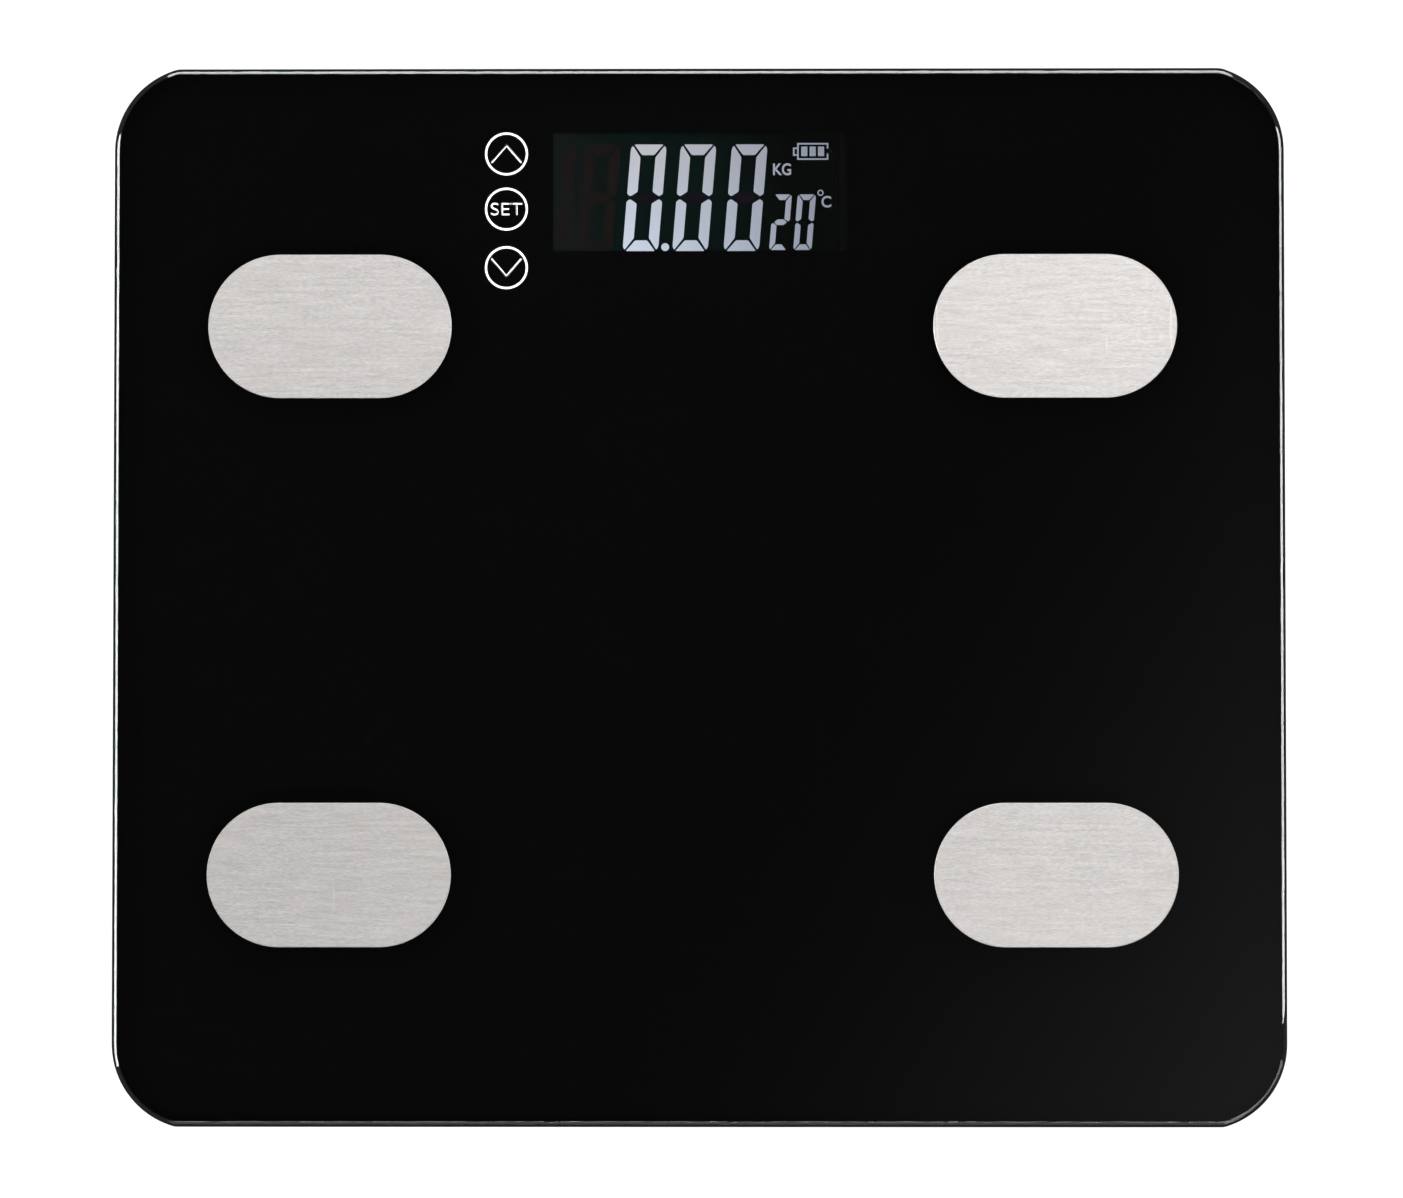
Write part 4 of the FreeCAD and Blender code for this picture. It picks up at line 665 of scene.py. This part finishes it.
def add_digit(work, corner, size, shown, base, top):
    """Some segments of a digit that leans to the right."""
    wide, tall, thick = size
    for name, outline in digit_segments(wide, tall, thick).items():
        if name in shown:
            leaning = [(corner[0] + x + y * LEAN, corner[1] + y) for x, y in outline]
            prism(work, softened(leaning, SEGMENT_ROUNDING * thick), base, top)


def rectangle(left, bottom, right, top):
    """The corners of a rectangle whose sides are given in millimetres."""
    corners = ((left, bottom), (right, bottom), (right, top), (left, top))
    return [(x * MM, y * MM) for x, y in corners]


def disc(centre, radius, steps=40):
    return [(centre[0] + radius * math.cos(math.tau * k / steps),
             centre[1] + radius * math.sin(math.tau * k / steps)) for k in range(steps)]


LARGE = (9.45 * MM, 28.4 * MM, 2.85 * MM)
SMALL = (4.85 * MM, 14.8 * MM, 1.5 * MM)
LARGE_LEFTS = (-20.3 * MM, -7.1 * MM, 6.5 * MM)
GHOST_LEFTS = (-44.4 * MM, -32.5 * MM)
LARGE_BOTTOM = 91.75 * MM
SMALL_LEFTS = (18.65 * MM, 25.05 * MM)
SMALL_BOTTOM = 92.0 * MM
DIGIT_ZERO = "abcdef"
DIGIT_TWO = "abged"
POINT_CENTRE, POINT_RADIUS = (-8.95 * MM, 92.8 * MM), 1.05 * MM
KG_CENTRE, KG_HEIGHT, KG_WIDTH = (22.1 * MM, 113.5 * MM), 3.2 * MM, 4.8 * MM
C_CENTRE, C_HEIGHT, C_WIDTH = (33.85 * MM, 104.85 * MM), 3.1 * MM, 2.6 * MM
LETTER_BOLD = 0.02
DEGREE_CENTRE, DEGREE_OUTER, DEGREE_INNER = (32.3 * MM, 107.2 * MM), 0.83 * MM, 0.50 * MM
COLON_CENTRES, COLON_RADIUS = ((-7.15 * MM, 111.8 * MM), (-8.12 * MM, 100.1 * MM)), 0.85 * MM
LAYER_STEP = 0.002 * MM
LAYER_THICKNESS = 0.012 * MM


def display_levels(step):
    """The bottom and top of a layer on the display's front."""
    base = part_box("lcd_panel")[1].z + LAYER_STEP * step
    return base, base + LAYER_THICKNESS


def display_piece(name, build):
    """Thin marks on the display's front, with a glow of their own."""
    piece(name, mesh_of(name, build), "display_glass", finishes=[name])


def display_digits():
    """What the display shows: 0.00 KG, 20 degrees C and a full battery."""
    base, top = display_levels(1)

    def build(work):
        for left in LARGE_LEFTS:
            add_digit(work, (left, LARGE_BOTTOM), LARGE, DIGIT_ZERO, base, top)
        for left, shown in zip(SMALL_LEFTS, (DIGIT_TWO, DIGIT_ZERO)):
            add_digit(work, (left, SMALL_BOTTOM), SMALL, shown, base, top)
        prism(work, disc(POINT_CENTRE, POINT_RADIUS), base, top)
        add_letters(work, "KG", KG_CENTRE, KG_HEIGHT, KG_WIDTH, base, top, LETTER_BOLD)
        add_letters(work, "C", C_CENTRE, C_HEIGHT, C_WIDTH, base, top, LETTER_BOLD)
        ring(work, DEGREE_CENTRE, DEGREE_OUTER, DEGREE_INNER, base, top, steps=32)
        for bar in battery_mark():
            prism(work, bar, base, top)

    display_piece("display_digits", build)


def battery_mark():
    """A battery in outline, with a stub at its left, a gap in its right wall and three bars inside.
    The lengths here are in millimetres."""
    line = 0.42
    left, right, low, high = 26.1, 34.4, 116.0, 120.5
    gap_low, gap_high = 117.7, 119.0
    stub, stub_low, stub_high = 25.0, 117.1, 119.3
    bar_lefts, bar_width, bar_low, bar_high = (27.2, 29.42, 31.65), 1.62, 117.0, 119.55
    walls = [
        rectangle(left, high - line, right, high),
        rectangle(left, low, right, low + line),
        rectangle(left, low + line, left + line, high - line),
        rectangle(right - line, gap_high, right, high - line),
        rectangle(right - line, low + line, right, gap_low),
        rectangle(stub, stub_high - line, left, stub_high),
        rectangle(stub, stub_low, left, stub_low + line),
        rectangle(stub, stub_low + line, stub + line, stub_high - line),
    ]
    return walls + [rectangle(x, bar_low, x + bar_width, bar_high) for x in bar_lefts]


def display_ghosts():
    """A 1 and an 8 that the display isn't using, and that show faintly."""
    base, top = display_levels(0)

    def build(work):
        for left, shown in zip(GHOST_LEFTS, ("bc", "abcdefg")):
            add_digit(work, (left, LARGE_BOTTOM), LARGE, shown, base, top)

    display_piece("display_ghosts", build)


def display_shades():
    """The unlit middle bars of the zeros and the unlit colon."""
    base, top = display_levels(0)

    def build(work):
        for left in LARGE_LEFTS:
            add_digit(work, (left, LARGE_BOTTOM), LARGE, "g", base, top)
        for centre in COLON_CENTRES:
            prism(work, disc(centre, COLON_RADIUS), base, top)

    display_piece("display_shades", build)


# ---- studio ----------------------------------------------------------------------------------------

FLOOR_REACH = 8.0
SOFTBOX_DISTANCE = 1.3


def studio_floor():
    """A plain pale floor with a glow of its own, so that it hardly takes a shadow. It can't be seen from
    below, where it would hide the object."""
    finish = Finish("studio_floor", (0.44, 0.44, 0.44), 0.75)
    finish.colour(finish.mix(finish.noise(0.6, detail=2.0), (0.43, 0.43, 0.43), (0.45, 0.45, 0.45)))
    finish.shader.inputs["Emission Color"].default_value = (1.0, 1.0, 1.0, 1.0)
    finish.shader.inputs["Emission Strength"].default_value = 0.6
    below = finish.node("ShaderNodeNewGeometry").outputs["Backfacing"]
    clear = finish.node("ShaderNodeBsdfTransparent")
    sides = finish.node("ShaderNodeMixShader")
    finish.join(below, sides.inputs[0])
    finish.join(finish.shader.outputs[0], sides.inputs[1])
    finish.join(clear.outputs[0], sides.inputs[2])
    finish.join(sides.outputs[0], finish.tree.nodes["Material Output"].inputs["Surface"])

    def build(work):
        work.faces.new([work.verts.new((x * FLOOR_REACH, y * FLOOR_REACH, 0.0))
                        for x, y in ((-1, -1), (1, -1), (1, 1), (-1, 1))])

    mesh = mesh_of("studio_floor", build)
    mesh.materials.append(finish.material)
    floor = bpy.data.objects.new("studio_floor", mesh)
    scene.collection.objects.link(floor)


def softbox(name, bearing, radiance, size=(0.9, 0.24), lift=30):
    """A rectangular lamp that faces the object. bearing is anticlockwise from +X and lift is its
    height above the horizon, both in degrees."""
    lamp = bpy.data.lights.new(name, "AREA")
    lamp.shape = "RECTANGLE"
    lamp.size, lamp.size_y = size
    lamp.energy = radiance * math.pi * size[0] * size[1]
    made = bpy.data.objects.new(name, lamp)
    scene.collection.objects.link(made)
    turn, rise = math.radians(bearing), math.radians(lift)
    away = Vector((math.cos(turn) * math.cos(rise), math.sin(turn) * math.cos(rise), math.sin(rise)))
    made.location = away * SOFTBOX_DISTANCE
    made.rotation_euler = away.to_track_quat("Z", "Y").to_euler()
    made.visible_camera = False


SKY_LEVELS = [(0.0, 0.55), (0.42, 0.40), (0.60, 0.16), (0.78, 0.02), (1.0, 0.02)]  # (height, level)
GLOW_TOWARDS = (0.85, -0.5, 0.0)
GLOW_START = 0.008
GLOW_GAIN = 12.0
GLOW_HEIGHT = 0.955


def surroundings():
    """A studio that is pale round the horizon and dark overhead, so the glass reads as black, with a
    slight glow past the glass's front right corner."""
    world = bpy.data.worlds.new("surroundings")
    scene.world = world
    world.use_nodes = True
    tree = world.node_tree
    background = tree.nodes["Background"]
    direction = tree.nodes.new("ShaderNodeTexCoord").outputs["Generated"]
    parts = tree.nodes.new("ShaderNodeSeparateXYZ")
    tree.links.new(direction, parts.inputs[0])
    ramp = tree.nodes.new("ShaderNodeValToRGB")
    elements = ramp.color_ramp.elements
    while len(elements) < len(SKY_LEVELS):
        elements.new(0.5)
    for element, (position, level) in zip(elements, SKY_LEVELS):
        element.position = position
        element.color = (level, level, level, 1.0)
    tree.links.new(parts.outputs["Z"], ramp.inputs["Fac"])
    lean = tree.nodes.new("ShaderNodeVectorMath")
    lean.operation = "DOT_PRODUCT"
    lean.inputs[1].default_value = GLOW_TOWARDS
    tree.links.new(direction, lean.inputs[0])

    def math_node(operation, first, second):
        made = tree.nodes.new("ShaderNodeMath")
        made.operation = operation
        for socket, given in zip(made.inputs, (first, second)):
            if isinstance(given, float):
                socket.default_value = given
            else:
                tree.links.new(given, socket)
        return made.outputs[0]

    past = math_node("MAXIMUM", math_node("SUBTRACT", lean.outputs["Value"], GLOW_START), 0.0)
    glow = math_node("MULTIPLY", math_node("MULTIPLY", past, past), GLOW_GAIN)
    overhead = math_node("GREATER_THAN", parts.outputs["Z"], GLOW_HEIGHT)
    total = tree.nodes.new("ShaderNodeMixRGB")
    total.blend_type = "ADD"
    total.inputs["Fac"].default_value = 1.0
    tree.links.new(ramp.outputs["Color"], total.inputs["Color1"])
    tree.links.new(math_node("MULTIPLY", glow, overhead), total.inputs["Color2"])
    tree.links.new(total.outputs["Color"], background.inputs["Color"])


FOCAL_LENGTH = 115.5
TILT, ROLL, TURN = math.radians(1.692), math.radians(0.447), math.radians(-0.02)
BACK_OFF = (0.705 * MM, -0.781 * MM, 1190 * MM)
EDGE_DEPTH = 1.2 * MM


def camera():
    """Almost straight above the platform, leaning back a little, as a product is photographed."""
    lens = bpy.data.cameras.new("camera")
    lens.sensor_width = 36.0
    lens.lens = FOCAL_LENGTH
    lens.clip_start = 0.05
    made = bpy.data.objects.new("camera", lens)
    scene.collection.objects.link(made)
    edge_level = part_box("glass_platform")[1].z - EDGE_DEPTH
    lean = Matrix.Rotation(TILT, 4, "X") @ Matrix.Rotation(ROLL, 4, "Y") @ Matrix.Rotation(TURN, 4, "Z")
    made.matrix_world = Matrix.Translation((0, 0, edge_level)) @ lean @ Matrix.Translation(BACK_OFF)
    scene.camera = made


def studio():
    studio_floor()
    softbox("left_softbox", 180, 18.0)
    softbox("right_softbox", 8, 15.0, size=(0.72, 0.2))
    softbox("rear_softbox", 90, 12.0, size=(1.3, 0.24))
    softbox("front_softbox", -90, 0.9, size=(1.2, 0.24), lift=33)
    softbox("corner_softbox", -42, 3.0, size=(1.0, 0.24), lift=31)
    softbox("front_fill", -80, 11.0, size=(1.2, 0.3), lift=52)
    softbox("rear_fill", 75, 4.0, size=(1.2, 0.3), lift=52)
    surroundings()
    camera()
    scene.view_settings.view_transform = "Standard"


# ---- the whole scene -------------------------------------------------------------------------------

studio()
finish_cad_nodes()
glass_slab()
key_marks()
display_ghosts()
display_shades()
display_digits()
